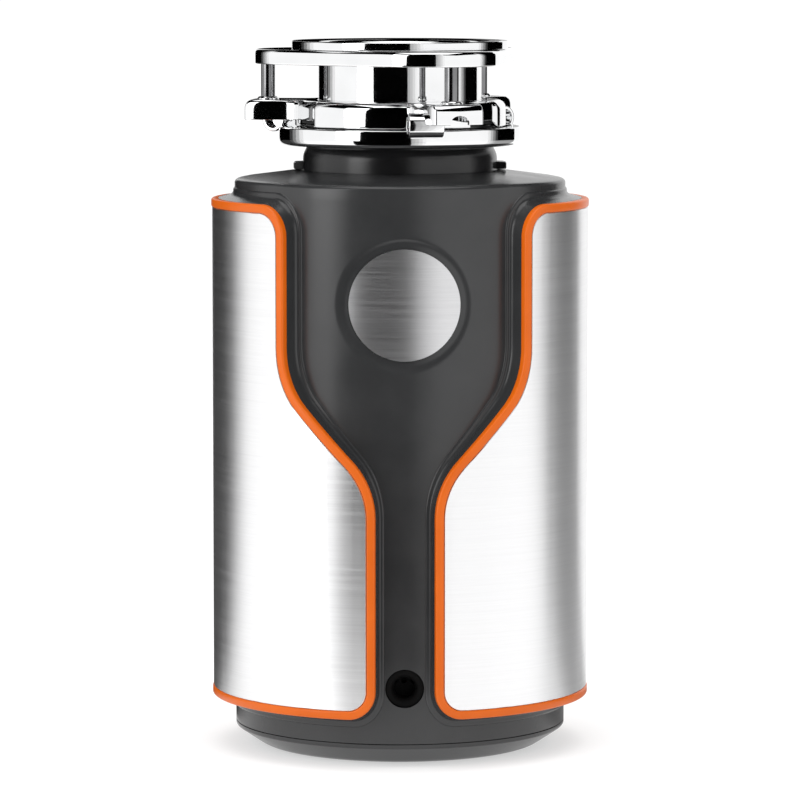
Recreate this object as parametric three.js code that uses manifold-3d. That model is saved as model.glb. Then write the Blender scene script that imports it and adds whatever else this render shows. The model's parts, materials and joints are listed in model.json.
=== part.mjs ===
// Food waste disposer that hangs under a kitchen sink, with its three-screw sink mount.
// Millimetres, +Z up, origin on the body's axis at the level it stands on, front towards -Y.
import * as THREE from 'three';
import Module from 'manifold-3d';

const wasm = await Module();
wasm.setup();

// ---------------------------------------------------------------- driving dimensions
const RUN_GAP = 0.3;
const SHELL_R = 88;
const SHELL_WALL = 2.5;
const SHELL_FOOT_Z = 12.3;
const SHELL_EDGE_Z = 302.4;
const SHELL_TOP_Z = 306.7;
const SHELL_TOP_R = 51.7;
const BASE_FLAT_R = 73;
const BASE_CHAMFER_Z = 10;
const BASE_WALL = 3;

// Side panels: their outline is drawn flat, as arc length at PANEL_R against height.
const PANEL_R = 100;
const PANEL_SHEET = 1.1;
const TRIM_R = 100.5;
const TRIM_DEPTH = 3.8;
const TRIM_WIDTH = 4.5;
const PAD_WALL = 3;
const PAD_LEDGE_RISE = 2;
const PANEL_Z0 = 26.5;
const PANEL_Z1 = 292;
const STEM_HALF = 15.7;
const HEAD_HALF = 67.9;
const CURVE_R = 42;
const CURVE_TURN = Math.PI / 4;
const CURVE_Z0 = 131;
const FOOT_CORNER_R = 14.7;
const HEAD_CORNER_R = 16.7;
const STRIP_ANGLE = Math.PI / 24;
const CORNER_STEPS = 4;
const SAME_POINT = 1e-6;

const BADGE_Z = 241;
const BADGE_R = 28.9;
const BADGE_RECESS_R = 34.5;
const BADGE_RECESS_DEPTH = 1.3;
const BADGE_SHEET = 1.1;
const CORD_HOLE_Z = 41.5;
const CORD_HOLE_R = 9.9;
const CORD_BORE_R = 5.5;

// Motor and drain, from the bottom up.
const SHAFT_R = 6.5;
const SHAFT_Z0 = 8;
const SHAFT_Z1 = 219;
const FRAME_R = 74;
const LOWER_FRAME_Z = 26;
const UPPER_FRAME_Z = 139;
const FRAME_PLATE = 4;
const BEARING_R = 15;
const BEARING_H = 9;
const STATOR_R = 65;
const STATOR_BORE_R = 38.5;
const STATOR_Z0 = 58.3;
const STATOR_Z1 = 118;
const COIL_H = 15;
const ROTOR_R = 37.8;
const TIE_BOLT_R = 2.5;
const TIE_BOLT_CIRCLE = 70;
const TIE_BOLT_ANGLES = [45, 135, 225, 315];
const GROUND_SCREW_XY = [-30, -55];
const DRAIN_Z0 = 150;
const DRAIN_Z1 = 206;
const DRAIN_R = 80;
const OUTLET_Z = 184;
const OUTLET_BORE_R = 17.5;
const OUTLET_BOSS_R = 21.5;
const OUTLET_END_Y = 100;
const OUTLET_SCREW_X = 31;

// Grinding parts.
const CHAMBER_R = 78;
const NECK_R = 51;
const NECK_TOP_Z = 320;
const LIP_R = 57;
const LUG_REACH = 56.7;
const TURNTABLE_R = 70.5;
const TURNTABLE_Z = 213;
const TURNTABLE_T = 3.5;
const SHREDDER_R = 77.5;
const SHREDDER_BORE_R = 71.8;
const IMPELLER_PIVOT_R = 47;
const IMPELLER_LENGTH = 20;
const DISHWASHER_ANGLE = 22;
const DISHWASHER_Z = 262;
const DISHWASHER_R = 11;
const DISHWASHER_END_R = 97;

// Sink mount.
const MOUNT_SCREW_CIRCLE = 71;
const MOUNT_SCREW_ANGLES = [-69.5, 50.5, 170.5];
const MOUNT_SCREW_R = 3.75;
const LOWER_RING_Z0 = 320.3;
const LOWER_RING_Z1 = 329.9;
const LOWER_RING_R = 64.3;
const BARREL_ANGLES = [-80.5, 39.5, 159.5];
const BARREL_CIRCLE = 68;
const BARREL_R = 6.4;
const BARREL_HALF = 9.2;
const BARREL_Z = 333;
const UPPER_RING_Z = 344;
const UPPER_PLATE = 4;
const UPPER_SKIRT_R = 61.2;
const UPPER_SKIRT_Z0 = 330.4;
const LOBE_REACH = 82.5;
const LOBE_Z0 = 333.3;
const TUBE_R = 43.3;
const TUBE_WALL = 2;
const TUBE_Z0 = 334;
const SNAP_RING_Z = 337.1;
const SNAP_RING_H = 2.3;
const BACKUP_Z0 = 362.9;
const BACKUP_Z1 = 370.8;
const BACKUP_CENTRE = 40.9;
const BACKUP_CORNER_R = 36.6;
const BACKUP_SHEET = 2.2;
const LIP_TOP_Z = 375.3;
const SINK_LIP_R = 57.5;
const GASKET_Z1 = 372.8;

// ---------------------------------------------------------------- geometry helpers
const degrees = (value) => (value * Math.PI) / 180;

// Closed solid from corner positions and triangles, wound outwards, equal corners joined.
function solid(positions, triangles) {
  const seen = new Map();
  const flat = [];
  const slots = positions.map((p) => {
    const key = p.map((v) => v.toFixed(4)).join(',');
    if (!seen.has(key)) {
      seen.set(key, flat.length / 3);
      flat.push(p[0], p[1], p[2]);
    }
    return seen.get(key);
  });
  const index = [];
  for (const [a, b, c] of triangles) {
    const [i, j, k] = [slots[a], slots[b], slots[c]];
    if (i !== j && j !== k && k !== i) {
      index.push(i, j, k);
    }
  }
  const geometry = new THREE.BufferGeometry();
  geometry.setAttribute('position', new THREE.Float32BufferAttribute(flat, 3));
  geometry.setIndex(signedVolume(flat, index) < 0 ? index.reverse() : index);
  return geometry;
}

function signedVolume(flat, index) {
  let total = 0;
  for (let t = 0; t < index.length; t += 3) {
    const [a, b, c] = [0, 1, 2].map((n) => new THREE.Vector3().fromArray(flat, index[t + n] * 3));
    total += a.dot(b.cross(c));
  }
  return total;
}

// Solid swept round Z. section(angle) is a closed loop of [radius, height]; angles in radians.
function sweepRound(section, steps, from = 0, to = Math.PI * 2) {
  const full = Math.abs(to - from - Math.PI * 2) < 1e-9;
  const stations = full ? steps : steps + 1;
  const positions = [];
  for (let s = 0; s < stations; s += 1) {
    const angle = from + ((to - from) * s) / steps;
    for (const [r, z] of section(angle)) {
      positions.push([r * Math.cos(angle), r * Math.sin(angle), z]);
    }
  }
  const count = section(from).length;
  const triangles = [];
  for (let s = 0; s < steps; s += 1) {
    const next = full ? (s + 1) % steps : s + 1;
    for (let i = 0; i < count; i += 1) {
      const j = (i + 1) % count;
      triangles.push([s * count + i, next * count + i, next * count + j]);
      triangles.push([s * count + i, next * count + j, s * count + j]);
    }
  }
  if (!full) {
    const loop = section(from).map(([r, z]) => new THREE.Vector2(r, z));
    const ends = THREE.ShapeUtils.triangulateShape(loop, []);
    return closeSector(positions, triangles, ends, steps * count);
  }
  return solid(positions, triangles);
}

// Adds the two end faces of a part turn, each wound to agree with the sides.
function closeSector(positions, sides, face, last) {
  const directed = new Set();
  for (const [a, b, c] of sides) {
    directed.add(`${a}>${b}`).add(`${b}>${c}`).add(`${c}>${a}`);
  }
  const clashes = ([a, b, c]) => [[a, b], [b, c], [c, a]].some(([p, q]) => directed.has(`${p}>${q}`));
  const triangles = [...sides];
  for (const start of [0, last]) {
    const end = face.map((corners) => corners.map((corner) => start + corner));
    const flip = end.some(clashes);
    triangles.push(...end.map(([a, b, c]) => (flip ? [a, c, b] : [a, b, c])));
  }
  return solid(positions, triangles);
}

// Plain turned solid from one loop of [radius, height].
function turned(loop, steps) {
  return sweepRound(() => loop, steps);
}

function tube(inner, outer, z0, z1, steps) {
  return turned([[inner, z0], [outer, z0], [outer, z1], [inner, z1]], steps);
}

function rod(radius, z0, z1, steps) {
  return turned([[0, z0], [radius, z0], [radius, z1], [0, z1]], steps);
}

// Straight prism on a flat outline of [x, y], with optional holes.
function prism(outline, z0, z1, holes = []) {
  const loops = [outline, ...holes].map((loop) => loop.map(([x, y]) => new THREE.Vector2(x, y)));
  loops.forEach((loop, i) => {
    if (THREE.ShapeUtils.isClockWise(loop) === (i === 0)) {
      loop.reverse();
    }
  });
  const flat = loops.flat();
  const positions = [...flat.map((p) => [p.x, p.y, z0]), ...flat.map((p) => [p.x, p.y, z1])];
  const n = flat.length;
  const triangles = [];
  for (const [a, b, c] of THREE.ShapeUtils.triangulateShape(loops[0], loops.slice(1))) {
    triangles.push([a + n, b + n, c + n], [a, c, b]);
  }
  let start = 0;
  for (const loop of loops) {
    for (let i = 0; i < loop.length; i += 1) {
      const a = start + i;
      const b = start + ((i + 1) % loop.length);
      triangles.push([a, b, b + n], [a, b + n, a + n]);
    }
    start += loop.length;
  }
  return solid(positions, triangles);
}

function circlePoints(radius, steps, turn = 0, cx = 0, cy = 0) {
  return Array.from({ length: steps }, (_, i) => {
    const angle = turn + (i / steps) * Math.PI * 2;
    return [cx + radius * Math.cos(angle), cy + radius * Math.sin(angle)];
  });
}

function box(x0, x1, y0, y1, z0, z1) {
  return prism([[x0, y0], [x1, y0], [x1, y1], [x0, y1]], z0, z1);
}

function moved(geometry, x, y, z) {
  return geometry.clone().translate(x, y, z);
}

function spun(geometry, angle) {
  return geometry.clone().rotateZ(angle);
}

// Turns a solid built along +Z so that it points along +Y, then sets it at the given height.
function towardsBack(geometry, x, z) {
  return geometry.clone().rotateX(-Math.PI / 2).translate(x, 0, z);
}

function toManifold(geometry) {
  return new wasm.Manifold(new wasm.Mesh({
    numProp: 3,
    vertProperties: new Float32Array(geometry.attributes.position.array),
    triVerts: new Uint32Array(geometry.index.array),
  }));
}

function fromManifold(body) {
  const mesh = body.getMesh();
  const geometry = new THREE.BufferGeometry();
  geometry.setAttribute('position', new THREE.Float32BufferAttribute(mesh.vertProperties, 3));
  geometry.setIndex(Array.from(mesh.triVerts));
  return geometry;
}

function fuse(first, ...rest) {
  return fromManifold(rest.reduce((body, next) => body.add(toManifold(next)), toManifold(first)));
}

function cut(first, ...rest) {
  return fromManifold(rest.reduce((body, next) => body.subtract(toManifold(next)), toManifold(first)));
}

function common(first, second) {
  return fromManifold(toManifold(first).intersect(toManifold(second)));
}

// ---------------------------------------------------------------- side panel outline
function arcPoints(cs, cz, radius, from, to) {
  return Array.from({ length: CORNER_STEPS + 1 }, (_, i) => {
    const angle = from + ((to - from) * i) / CORNER_STEPS;
    return [cs + radius * Math.cos(angle), cz + radius * Math.sin(angle)];
  });
}

// Outline of a side panel, moved inwards by inset, as [arc length from the front, height].
function panelOutline(inset) {
  const side = CURVE_R * (1 - Math.cos(CURVE_TURN));
  const slant = (HEAD_HALF - STEM_HALF - 2 * side) * Math.tan(CURVE_TURN);
  const curveZ1 = CURVE_Z0 + 2 * CURVE_R * Math.sin(CURVE_TURN) + slant;
  const quarter = Math.PI / 2;
  const step = STRIP_ANGLE * PANEL_R;
  const straight = (start, z) => {
    const points = [];
    for (let s = Math.ceil((start + 1) / step) * step; s < quarter * PANEL_R + 1; s += step) {
      points.push([s, z]);
    }
    return points;
  };
  const lower = arcPoints(STEM_HALF + CURVE_R, CURVE_Z0, CURVE_R - inset, Math.PI, Math.PI - CURVE_TURN);
  const upper = arcPoints(HEAD_HALF - CURVE_R, curveZ1, CURVE_R + inset, -CURVE_TURN, 0);
  const [from, to] = [lower[lower.length - 1], upper[0]];
  const slope = [1, 2, 3].map((i) => [0, 1].map((axis) => from[axis] + ((to[axis] - from[axis]) * i) / 4));
  const footX = STEM_HALF + FOOT_CORNER_R;
  const headX = HEAD_HALF + HEAD_CORNER_R;
  const front = [
    ...straight(footX, PANEL_Z0 + inset).reverse(),
    ...arcPoints(footX, PANEL_Z0 + FOOT_CORNER_R, FOOT_CORNER_R - inset, -quarter, -2 * quarter),
    ...lower,
    ...slope,
    ...upper,
    ...arcPoints(headX, PANEL_Z1 - HEAD_CORNER_R, HEAD_CORNER_R - inset, 2 * quarter, quarter),
    ...straight(headX, PANEL_Z1 - inset),
  ];
  const back = front.map(([s, z]) => [Math.PI * PANEL_R - s, z]).reverse();
  return [...front, ...back];
}

// The part of a flat outline between two upright lines.
function clipUpright(loop, low, high) {
  const keep = (points, limit, sign) => {
    const out = [];
    points.forEach((p, i) => {
      const q = points[(i + 1) % points.length];
      const inP = sign * (p[0] - limit) >= 0;
      const inQ = sign * (q[0] - limit) >= 0;
      if (inP) {
        out.push(p);
      }
      if (inP !== inQ) {
        const t = (limit - p[0]) / (q[0] - p[0]);
        out.push([limit, p[1] + t * (q[1] - p[1])]);
      }
    });
    return out;
  };
  return keep(keep(loop, low, 1), high, -1);
}

// Curved plate between two radii on the +X side. rise stretches its height at the inner radius.
function wrapPlate(outline, inner, outer, rise = 0) {
  const loop = outline.map(([s, z]) => [s / PANEL_R, z]);
  const middle = (PANEL_Z0 + PANEL_Z1) / 2;
  const stretch = 1 + rise / (PANEL_Z1 - middle);
  const at = ([a, z], r, factor) => [r * Math.sin(a), -r * Math.cos(a), middle + (z - middle) * factor];
  const positions = [];
  const triangles = [];
  const strips = Math.round(Math.PI / STRIP_ANGLE);
  for (let i = 0; i < strips; i += 1) {
    const clipped = clipUpright(loop, i * STRIP_ANGLE, (i + 1) * STRIP_ANGLE);
    const piece = clipped.filter((p, k) => {
      const next = clipped[(k + 1) % clipped.length];
      return Math.hypot(p[0] - next[0], p[1] - next[1]) > SAME_POINT;
    });
    if (piece.length < 3) {
      continue;
    }
    const points = piece.map(([a, z]) => new THREE.Vector2(a * PANEL_R, z));
    const base = positions.length;
    const n = piece.length;
    piece.forEach((p) => positions.push(at(p, outer, 1)));
    piece.forEach((p) => positions.push(at(p, inner, stretch)));
    for (const [a, b, c] of THREE.ShapeUtils.triangulateShape(points, [])) {
      triangles.push([base + a, base + b, base + c], [base + n + a, base + n + c, base + n + b]);
    }
    const ccw = THREE.ShapeUtils.area(points) > 0;
    for (let k = 0; k < n; k += 1) {
      const m = (k + 1) % n;
      const low = Math.abs(piece[k][0] - i * STRIP_ANGLE) + Math.abs(piece[m][0] - i * STRIP_ANGLE) < 1e-9;
      const top = (i + 1) * STRIP_ANGLE;
      const high = Math.abs(piece[k][0] - top) + Math.abs(piece[m][0] - top) < 1e-9;
      if (!low && !high) {
        const quad = [base + k, base + n + k, base + n + m, base + m];
        const [p, q, r, s] = ccw ? quad : quad.reverse();
        triangles.push([p, q, r], [p, r, s]);
      }
    }
  }
  return solid(positions, triangles);
}

function mirrored(geometry) {
  const flat = Array.from(geometry.attributes.position.array);
  const positions = [];
  for (let i = 0; i < flat.length; i += 3) {
    positions.push([-flat[i], flat[i + 1], flat[i + 2]]);
  }
  const index = Array.from(geometry.index.array);
  const triangles = [];
  for (let t = 0; t < index.length; t += 3) {
    triangles.push([index[t], index[t + 1], index[t + 2]]);
  }
  return solid(positions, triangles);
}

// ---------------------------------------------------------------- assembly list
const assembly = new THREE.Group();
assembly.name = 'food_waste_disposer';

const FINISHES = {
  chrome: [0xd8dadc, 1, 0.12],
  steel: [0xb9bbbd, 1, 0.35],
  darkPlastic: [0x3d3e40, 0, 0.55],
  orange: [0xf07818, 0, 0.45],
  rubber: [0x18181a, 0, 0.85],
  copper: [0xb36b3c, 1, 0.4],
  castIron: [0x55575a, 1, 0.6],
  aluminium: [0xa8abae, 1, 0.45],
  red: [0xc4201c, 0, 0.4],
  paleFibre: [0x8d7b62, 0, 0.9],
  foam: [0x4b4c50, 0, 0.95],
  green: [0x2f8f46, 1, 0.4],
  blackPlastic: [0x0f0f10, 0, 0.5],
};

function part(name, geometry, finish) {
  const [color, metalness, roughness] = FINISHES[finish];
  const shown = geometry.toNonIndexed();
  shown.computeVertexNormals();
  const mesh = new THREE.Mesh(shown, new THREE.MeshStandardMaterial({ color, metalness, roughness }));
  mesh.name = name;
  assembly.add(mesh);
}

// ---------------------------------------------------------------- outer body
const ROUND = 48;

function coreOutside(from, to) {
  return turned([
    [0, from],
    [SHELL_R, from],
    [SHELL_R, SHELL_EDGE_Z - 2],
    [SHELL_R - 0.6, SHELL_EDGE_Z - 0.6],
    [SHELL_R - 2, SHELL_EDGE_Z],
    [SHELL_TOP_R + 4, to],
    [0, to],
  ], ROUND);
}

function coreInside() {
  const r = SHELL_R - SHELL_WALL;
  return turned([
    [0, SHELL_FOOT_Z - 1],
    [r, SHELL_FOOT_Z - 1],
    [r, SHELL_EDGE_Z - SHELL_WALL - 1],
    [SHELL_TOP_R + 4, SHELL_TOP_Z - SHELL_WALL],
    [0, SHELL_TOP_Z - SHELL_WALL],
  ], ROUND);
}

// Raised pad of the shell under one side panel and its trim.
function raisedPad() {
  return wrapPlate(panelOutline(0), SHELL_R - 1.5, TRIM_R - TRIM_DEPTH - RUN_GAP, PAD_LEDGE_RISE);
}

// Room behind a pad, open to the inside of the shell.
function padHollow() {
  const outer = TRIM_R - TRIM_DEPTH - RUN_GAP - PAD_WALL;
  const loop = [
    [SHELL_R - SHELL_WALL - 2, PANEL_Z0 + 6],
    [outer, PANEL_Z0 + 6],
    [outer, PANEL_Z1 - 6],
    [SHELL_R - SHELL_WALL - 2, PANEL_Z1 - 6],
  ];
  return sweepRound(() => loop, 12, degrees(-45), degrees(45));
}

function badgeRecess() {
  const disc = towardsBack(rod(BADGE_RECESS_R, -SHELL_R - 6, -SHELL_R + 12, 40), 0, BADGE_Z);
  return cut(disc, rod(SHELL_R - BADGE_RECESS_DEPTH, BADGE_Z - 60, BADGE_Z + 60, ROUND));
}

function outletScrewHole(side, radius) {
  return towardsBack(rod(radius, 70, 95, 12), side * OUTLET_SCREW_X, OUTLET_Z);
}

function dishwasherAxis(geometry) {
  return spun(towardsBack(geometry, 0, DISHWASHER_Z), degrees(DISHWASHER_ANGLE));
}

function outerShell() {
  const pad = raisedPad();
  const hollow = padHollow();
  const outside = fuse(coreOutside(SHELL_FOOT_Z, SHELL_TOP_Z), pad, mirrored(pad));
  return cut(
    outside,
    coreInside(),
    hollow,
    mirrored(hollow),
    rod(SHELL_TOP_R, SHELL_TOP_Z - 10, SHELL_TOP_Z + 10, ROUND),
    badgeRecess(),
    towardsBack(rod(CORD_HOLE_R + RUN_GAP, -SHELL_R - 8, -SHELL_R + 10, 24), 0, CORD_HOLE_Z),
    towardsBack(rod(OUTLET_BOSS_R + RUN_GAP, 74, 96, 32), 0, OUTLET_Z),
    outletScrewHole(1, 2.9),
    outletScrewHole(-1, 2.9),
    dishwasherAxis(rod(DISHWASHER_R + RUN_GAP, 70, 100, 24)),
  );
}

function trimFrame() {
  const outer = panelOutline(0);
  const inner = panelOutline(TRIM_WIDTH);
  const at = ([s, z], r) => [r * Math.sin(s / PANEL_R), -r * Math.cos(s / PANEL_R), z];
  const back = TRIM_R - TRIM_DEPTH;
  const positions = outer.flatMap((p, i) => (
    [at(p, TRIM_R), at(p, back), at(inner[i], back), at(inner[i], TRIM_R)]
  ));
  const triangles = [];
  for (let i = 0; i < outer.length; i += 1) {
    const next = ((i + 1) % outer.length) * 4;
    for (let k = 0; k < 4; k += 1) {
      const m = (k + 1) % 4;
      triangles.push([i * 4 + k, i * 4 + m, next + m], [i * 4 + k, next + m, next + k]);
    }
  }
  return solid(positions, triangles);
}

function steelPanel() {
  return wrapPlate(panelOutline(TRIM_WIDTH + RUN_GAP), PANEL_R - PANEL_SHEET, PANEL_R);
}

function badgeDisc() {
  const back = SHELL_R - BADGE_RECESS_DEPTH + RUN_GAP;
  const disc = towardsBack(rod(BADGE_R, -SHELL_R - 6, -SHELL_R + 12, 40), 0, BADGE_Z);
  return common(disc, tube(back, back + BADGE_SHEET, BADGE_Z - 50, BADGE_Z + 50, ROUND));
}

const COVER_SCREW_CIRCLE = 62;
const COVER_SCREW_ANGLES = [30, 150, 270];
const RESET_X = 38;
const SOCKET_HOLE_R = 10;

function bottomCover() {
  const dish = turned([
    [SOCKET_HOLE_R, 0],
    [BASE_FLAT_R, 0],
    [SHELL_R, BASE_CHAMFER_Z],
    [SHELL_R, SHELL_FOOT_Z - RUN_GAP],
    [SHELL_R - SHELL_WALL, SHELL_FOOT_Z - RUN_GAP],
    [SHELL_R - SHELL_WALL, BASE_CHAMFER_Z + 1.2],
    [BASE_FLAT_R - 1, BASE_WALL],
    [SOCKET_HOLE_R, BASE_WALL],
  ], ROUND);
  const holes = COVER_SCREW_ANGLES.flatMap((angle) => {
    const [x, y] = polar(COVER_SCREW_CIRCLE, angle);
    return [moved(rod(2.6, -1, 5, 10), x, y, 0), moved(rod(4.6, -1, 1.8, 12), x, y, 0)];
  });
  return cut(dish, ...holes, moved(rod(4.5, -1, 5, 16), RESET_X, 0, 0));
}

function polar(radius, angle) {
  return [radius * Math.cos(degrees(angle)), radius * Math.sin(degrees(angle))];
}

function coverScrew(angle) {
  const [x, y] = polar(COVER_SCREW_CIRCLE, angle);
  const blank = turned([[0, 0.4], [4.2, 0.4], [4.2, 1.5], [2.2, 1.5], [2.2, 29], [0, 29]], 10);
  return moved(cut(blank, box(-5, 5, -0.6, 0.6, 0, 0.9)), x, y, 0);
}

function cordGland() {
  const face = -SHELL_R + 1.2;
  const sleeve = turned([
    [CORD_BORE_R, face],
    [CORD_HOLE_R, face],
    [CORD_HOLE_R, face + 5],
    [CORD_HOLE_R + 2, face + 5],
    [CORD_HOLE_R + 2, face + 7.5],
    [CORD_BORE_R, face + 7.5],
  ], 24);
  return towardsBack(sleeve, 0, CORD_HOLE_Z);
}

// ---------------------------------------------------------------- motor
function rotorShaft() {
  const blank = turned([
    [0, SHAFT_Z0],
    [SHAFT_R, SHAFT_Z0],
    [SHAFT_R, SHAFT_Z1 - 6],
    [SHAFT_R - 1.5, SHAFT_Z1 - 6],
    [SHAFT_R - 1.5, SHAFT_Z1 + 4],
    [0, SHAFT_Z1 + 4],
  ], 18);
  return cut(blank, prism(circlePoints(3.7, 6), SHAFT_Z0 - 1, SHAFT_Z0 + 8));
}

function bearing(z0) {
  return tube(SHAFT_R + RUN_GAP, BEARING_R - RUN_GAP - 0.1, z0, z0 + BEARING_H, 18);
}

function tieBoltHoles(z0, z1) {
  return TIE_BOLT_ANGLES.map((angle) => {
    const [x, y] = polar(TIE_BOLT_CIRCLE, angle);
    return moved(rod(TIE_BOLT_R + RUN_GAP + 0.1, z0, z1, 8), x, y, 0);
  });
}

// End plate with a bearing pocket that opens towards the motor.
function endFrame(z, pocketUp) {
  const plate = z + FRAME_PLATE;
  const lowest = pocketUp ? z : z - 7;
  const highest = pocketUp ? plate + 7 : plate;
  const shelf = pocketUp ? [lowest, lowest + 2] : [highest - 2, highest];
  const body = turned([
    [BEARING_R, lowest],
    [BEARING_R + 4, lowest],
    ...(pocketUp ? [] : [[BEARING_R + 4, z]]),
    [FRAME_R, z],
    [FRAME_R, plate],
    ...(pocketUp ? [[BEARING_R + 4, plate]] : []),
    [BEARING_R + 4, highest],
    [BEARING_R, highest],
  ], 24);
  const ledge = tube(SHAFT_R + 1.5, BEARING_R + 1, shelf[0], shelf[1], 16);
  return fuse(body, ledge);
}

function lowerEndFrame() {
  const screwHoles = COVER_SCREW_ANGLES.map((angle) => {
    const [x, y] = polar(COVER_SCREW_CIRCLE, angle);
    return moved(rod(2.2 + RUN_GAP + 0.1, LOWER_FRAME_Z - 2, LOWER_FRAME_Z + 8, 8), x, y, 0);
  });
  return cut(
    endFrame(LOWER_FRAME_Z, true),
    ...tieBoltHoles(LOWER_FRAME_Z - 2, LOWER_FRAME_Z + 8),
    ...screwHoles,
    moved(rod(1.8, LOWER_FRAME_Z - 2, LOWER_FRAME_Z + 8, 12), ...GROUND_SCREW_XY, 0),
  );
}

function upperEndFrame() {
  return cut(endFrame(UPPER_FRAME_Z, false), ...tieBoltHoles(UPPER_FRAME_Z - 9, UPPER_FRAME_Z + 8));
}

function tieBolt(angle) {
  const [x, y] = polar(TIE_BOLT_CIRCLE, angle);
  const head = LOWER_FRAME_Z - RUN_GAP;
  const blank = turned([
    [0, head - 4],
    [4.5, head - 4],
    [4.5, head],
    [TIE_BOLT_R, head],
    [TIE_BOLT_R, UPPER_FRAME_Z + FRAME_PLATE + 4],
    [0, UPPER_FRAME_Z + FRAME_PLATE + 4],
  ], 8);
  return moved(blank, x, y, 0);
}

const STATOR_SLOTS = 8;

function statorCore() {
  const bore = [];
  for (let i = 0; i < STATOR_SLOTS; i += 1) {
    const centre = (i / STATOR_SLOTS) * 360;
    bore.push(polar(STATOR_BORE_R, centre - 14), polar(STATOR_BORE_R, centre - 6), polar(52, centre - 8));
    bore.push(polar(52, centre + 8), polar(STATOR_BORE_R, centre + 6), polar(STATOR_BORE_R, centre + 14));
  }
  return prism(circlePoints(STATOR_R, 24), STATOR_Z0, STATOR_Z1, [bore]);
}

function statorCoil(z0) {
  return turned([
    [42, z0],
    [58, z0],
    [60, z0 + 2],
    [60, z0 + COIL_H - 2],
    [58, z0 + COIL_H],
    [42, z0 + COIL_H],
    [40, z0 + COIL_H - 2],
    [40, z0 + 2],
  ], 16);
}

// ---------------------------------------------------------------- drain and grinding parts
function drainChamber() {
  const bowl = turned([
    [16, DRAIN_Z0],
    [DRAIN_R - 6, DRAIN_Z0],
    [DRAIN_R, DRAIN_Z0 + 8],
    [DRAIN_R, DRAIN_Z1],
    [DRAIN_R - 3, DRAIN_Z1],
    [DRAIN_R - 3, DRAIN_Z0 + 10],
    [DRAIN_R - 8, DRAIN_Z0 + 4],
    [24, DRAIN_Z0 + 12],
    [20, DRAIN_Z0 + 34],
    [16, DRAIN_Z0 + 34],
  ], 30);
  const boss = towardsBack(rod(OUTLET_BOSS_R, DRAIN_R - 8, SHELL_R + 0.5, 32), 0, OUTLET_Z);
  const ears = [1, -1].map((side) => towardsBack(rod(6, 66, 76.4, 12), side * OUTLET_SCREW_X, OUTLET_Z));
  const inside = tube(20, DRAIN_R - 3, DRAIN_Z0 + 14, DRAIN_Z1 + 5, 30);
  return cut(
    fuse(bowl, cut(fuse(boss, ...ears), inside)),
    towardsBack(rod(OUTLET_BORE_R, 60, SHELL_R + 8, 32), 0, OUTLET_Z),
    towardsBack(rod(2.7, 68, 84, 12), OUTLET_SCREW_X, OUTLET_Z),
    towardsBack(rod(2.7, 68, 84, 12), -OUTLET_SCREW_X, OUTLET_Z),
  );
}

function shaftSeal() {
  return turned([
    [SHAFT_R + RUN_GAP, 170],
    [15.6, 170],
    [15.6, 184.3],
    [17.5, 184.6],
    [17.5, 188],
    [SHAFT_R + RUN_GAP, 188],
  ], 24);
}

function grindChamber() {
  const wall = turned([
    [DRAIN_R, DRAIN_Z1 + RUN_GAP],
    [DRAIN_R, DRAIN_Z1 + 3],
    [CHAMBER_R + 1.8, DRAIN_Z1 + 3],
    [CHAMBER_R + 1.8, 276],
    [CHAMBER_R - 4, 288],
    [CHAMBER_R - 16, 296.5],
    [NECK_R, 300],
    [NECK_R, NECK_TOP_Z - 3],
    [NECK_R - 0.6, NECK_TOP_Z],
    [NECK_R - 0.6, LOWER_RING_Z1 + RUN_GAP],
    [LIP_R, LOWER_RING_Z1 + RUN_GAP],
    [LIP_R, LOWER_RING_Z1 + 1.6],
    [NECK_R - 3, LOWER_RING_Z1 + 1.6],
    [NECK_R - 3, 299],
    [CHAMBER_R - 18, 294.5],
    [CHAMBER_R - 6, 286.5],
    [CHAMBER_R - 0.2, 275],
    [CHAMBER_R - 0.2, DRAIN_Z1 + RUN_GAP],
  ], 30);
  const lug = sweepRound(() => [[48.5, 307.4], [LUG_REACH, 307.4], [LUG_REACH, 311], [48.5, 311]], 3,
    degrees(-8), degrees(8));
  const spigot = dishwasherAxis(rod(DISHWASHER_R, CHAMBER_R - 3, DISHWASHER_END_R, 24));
  const inner = rod(CHAMBER_R - 0.2, DISHWASHER_Z - 13, DISHWASHER_Z + 12.9, 30);
  return cut(
    fuse(wall, lug, spun(lug, Math.PI), cut(spigot, inner)),
    dishwasherAxis(rod(DISHWASHER_R - 2, CHAMBER_R - 10, DISHWASHER_END_R + 2, 24)),
  );
}

function dishwasherPlug() {
  const end = DISHWASHER_END_R;
  return dishwasherAxis(turned([
    [0, end - 6],
    [DISHWASHER_R - 2 - RUN_GAP, end - 6],
    [DISHWASHER_R - 2 - RUN_GAP, end + RUN_GAP],
    [DISHWASHER_R, end + RUN_GAP],
    [DISHWASHER_R, end + 1.8],
    [0, end + 1.8],
  ], 24));
}

const SHREDDER_NOTCHES = 12;

function shredderRing() {
  const low = DRAIN_Z1 + 1;
  const ring = tube(SHREDDER_BORE_R, SHREDDER_R, low, low + 32, 30);
  const notch = box(SHREDDER_BORE_R - 4, SHREDDER_BORE_R + 3, -3.5, 3.5, low - 1, low + 16);
  const notches = Array.from({ length: SHREDDER_NOTCHES }, (_, i) => (
    spun(notch, (i / SHREDDER_NOTCHES) * Math.PI * 2)
  ));
  return cut(ring, ...notches);
}

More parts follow.
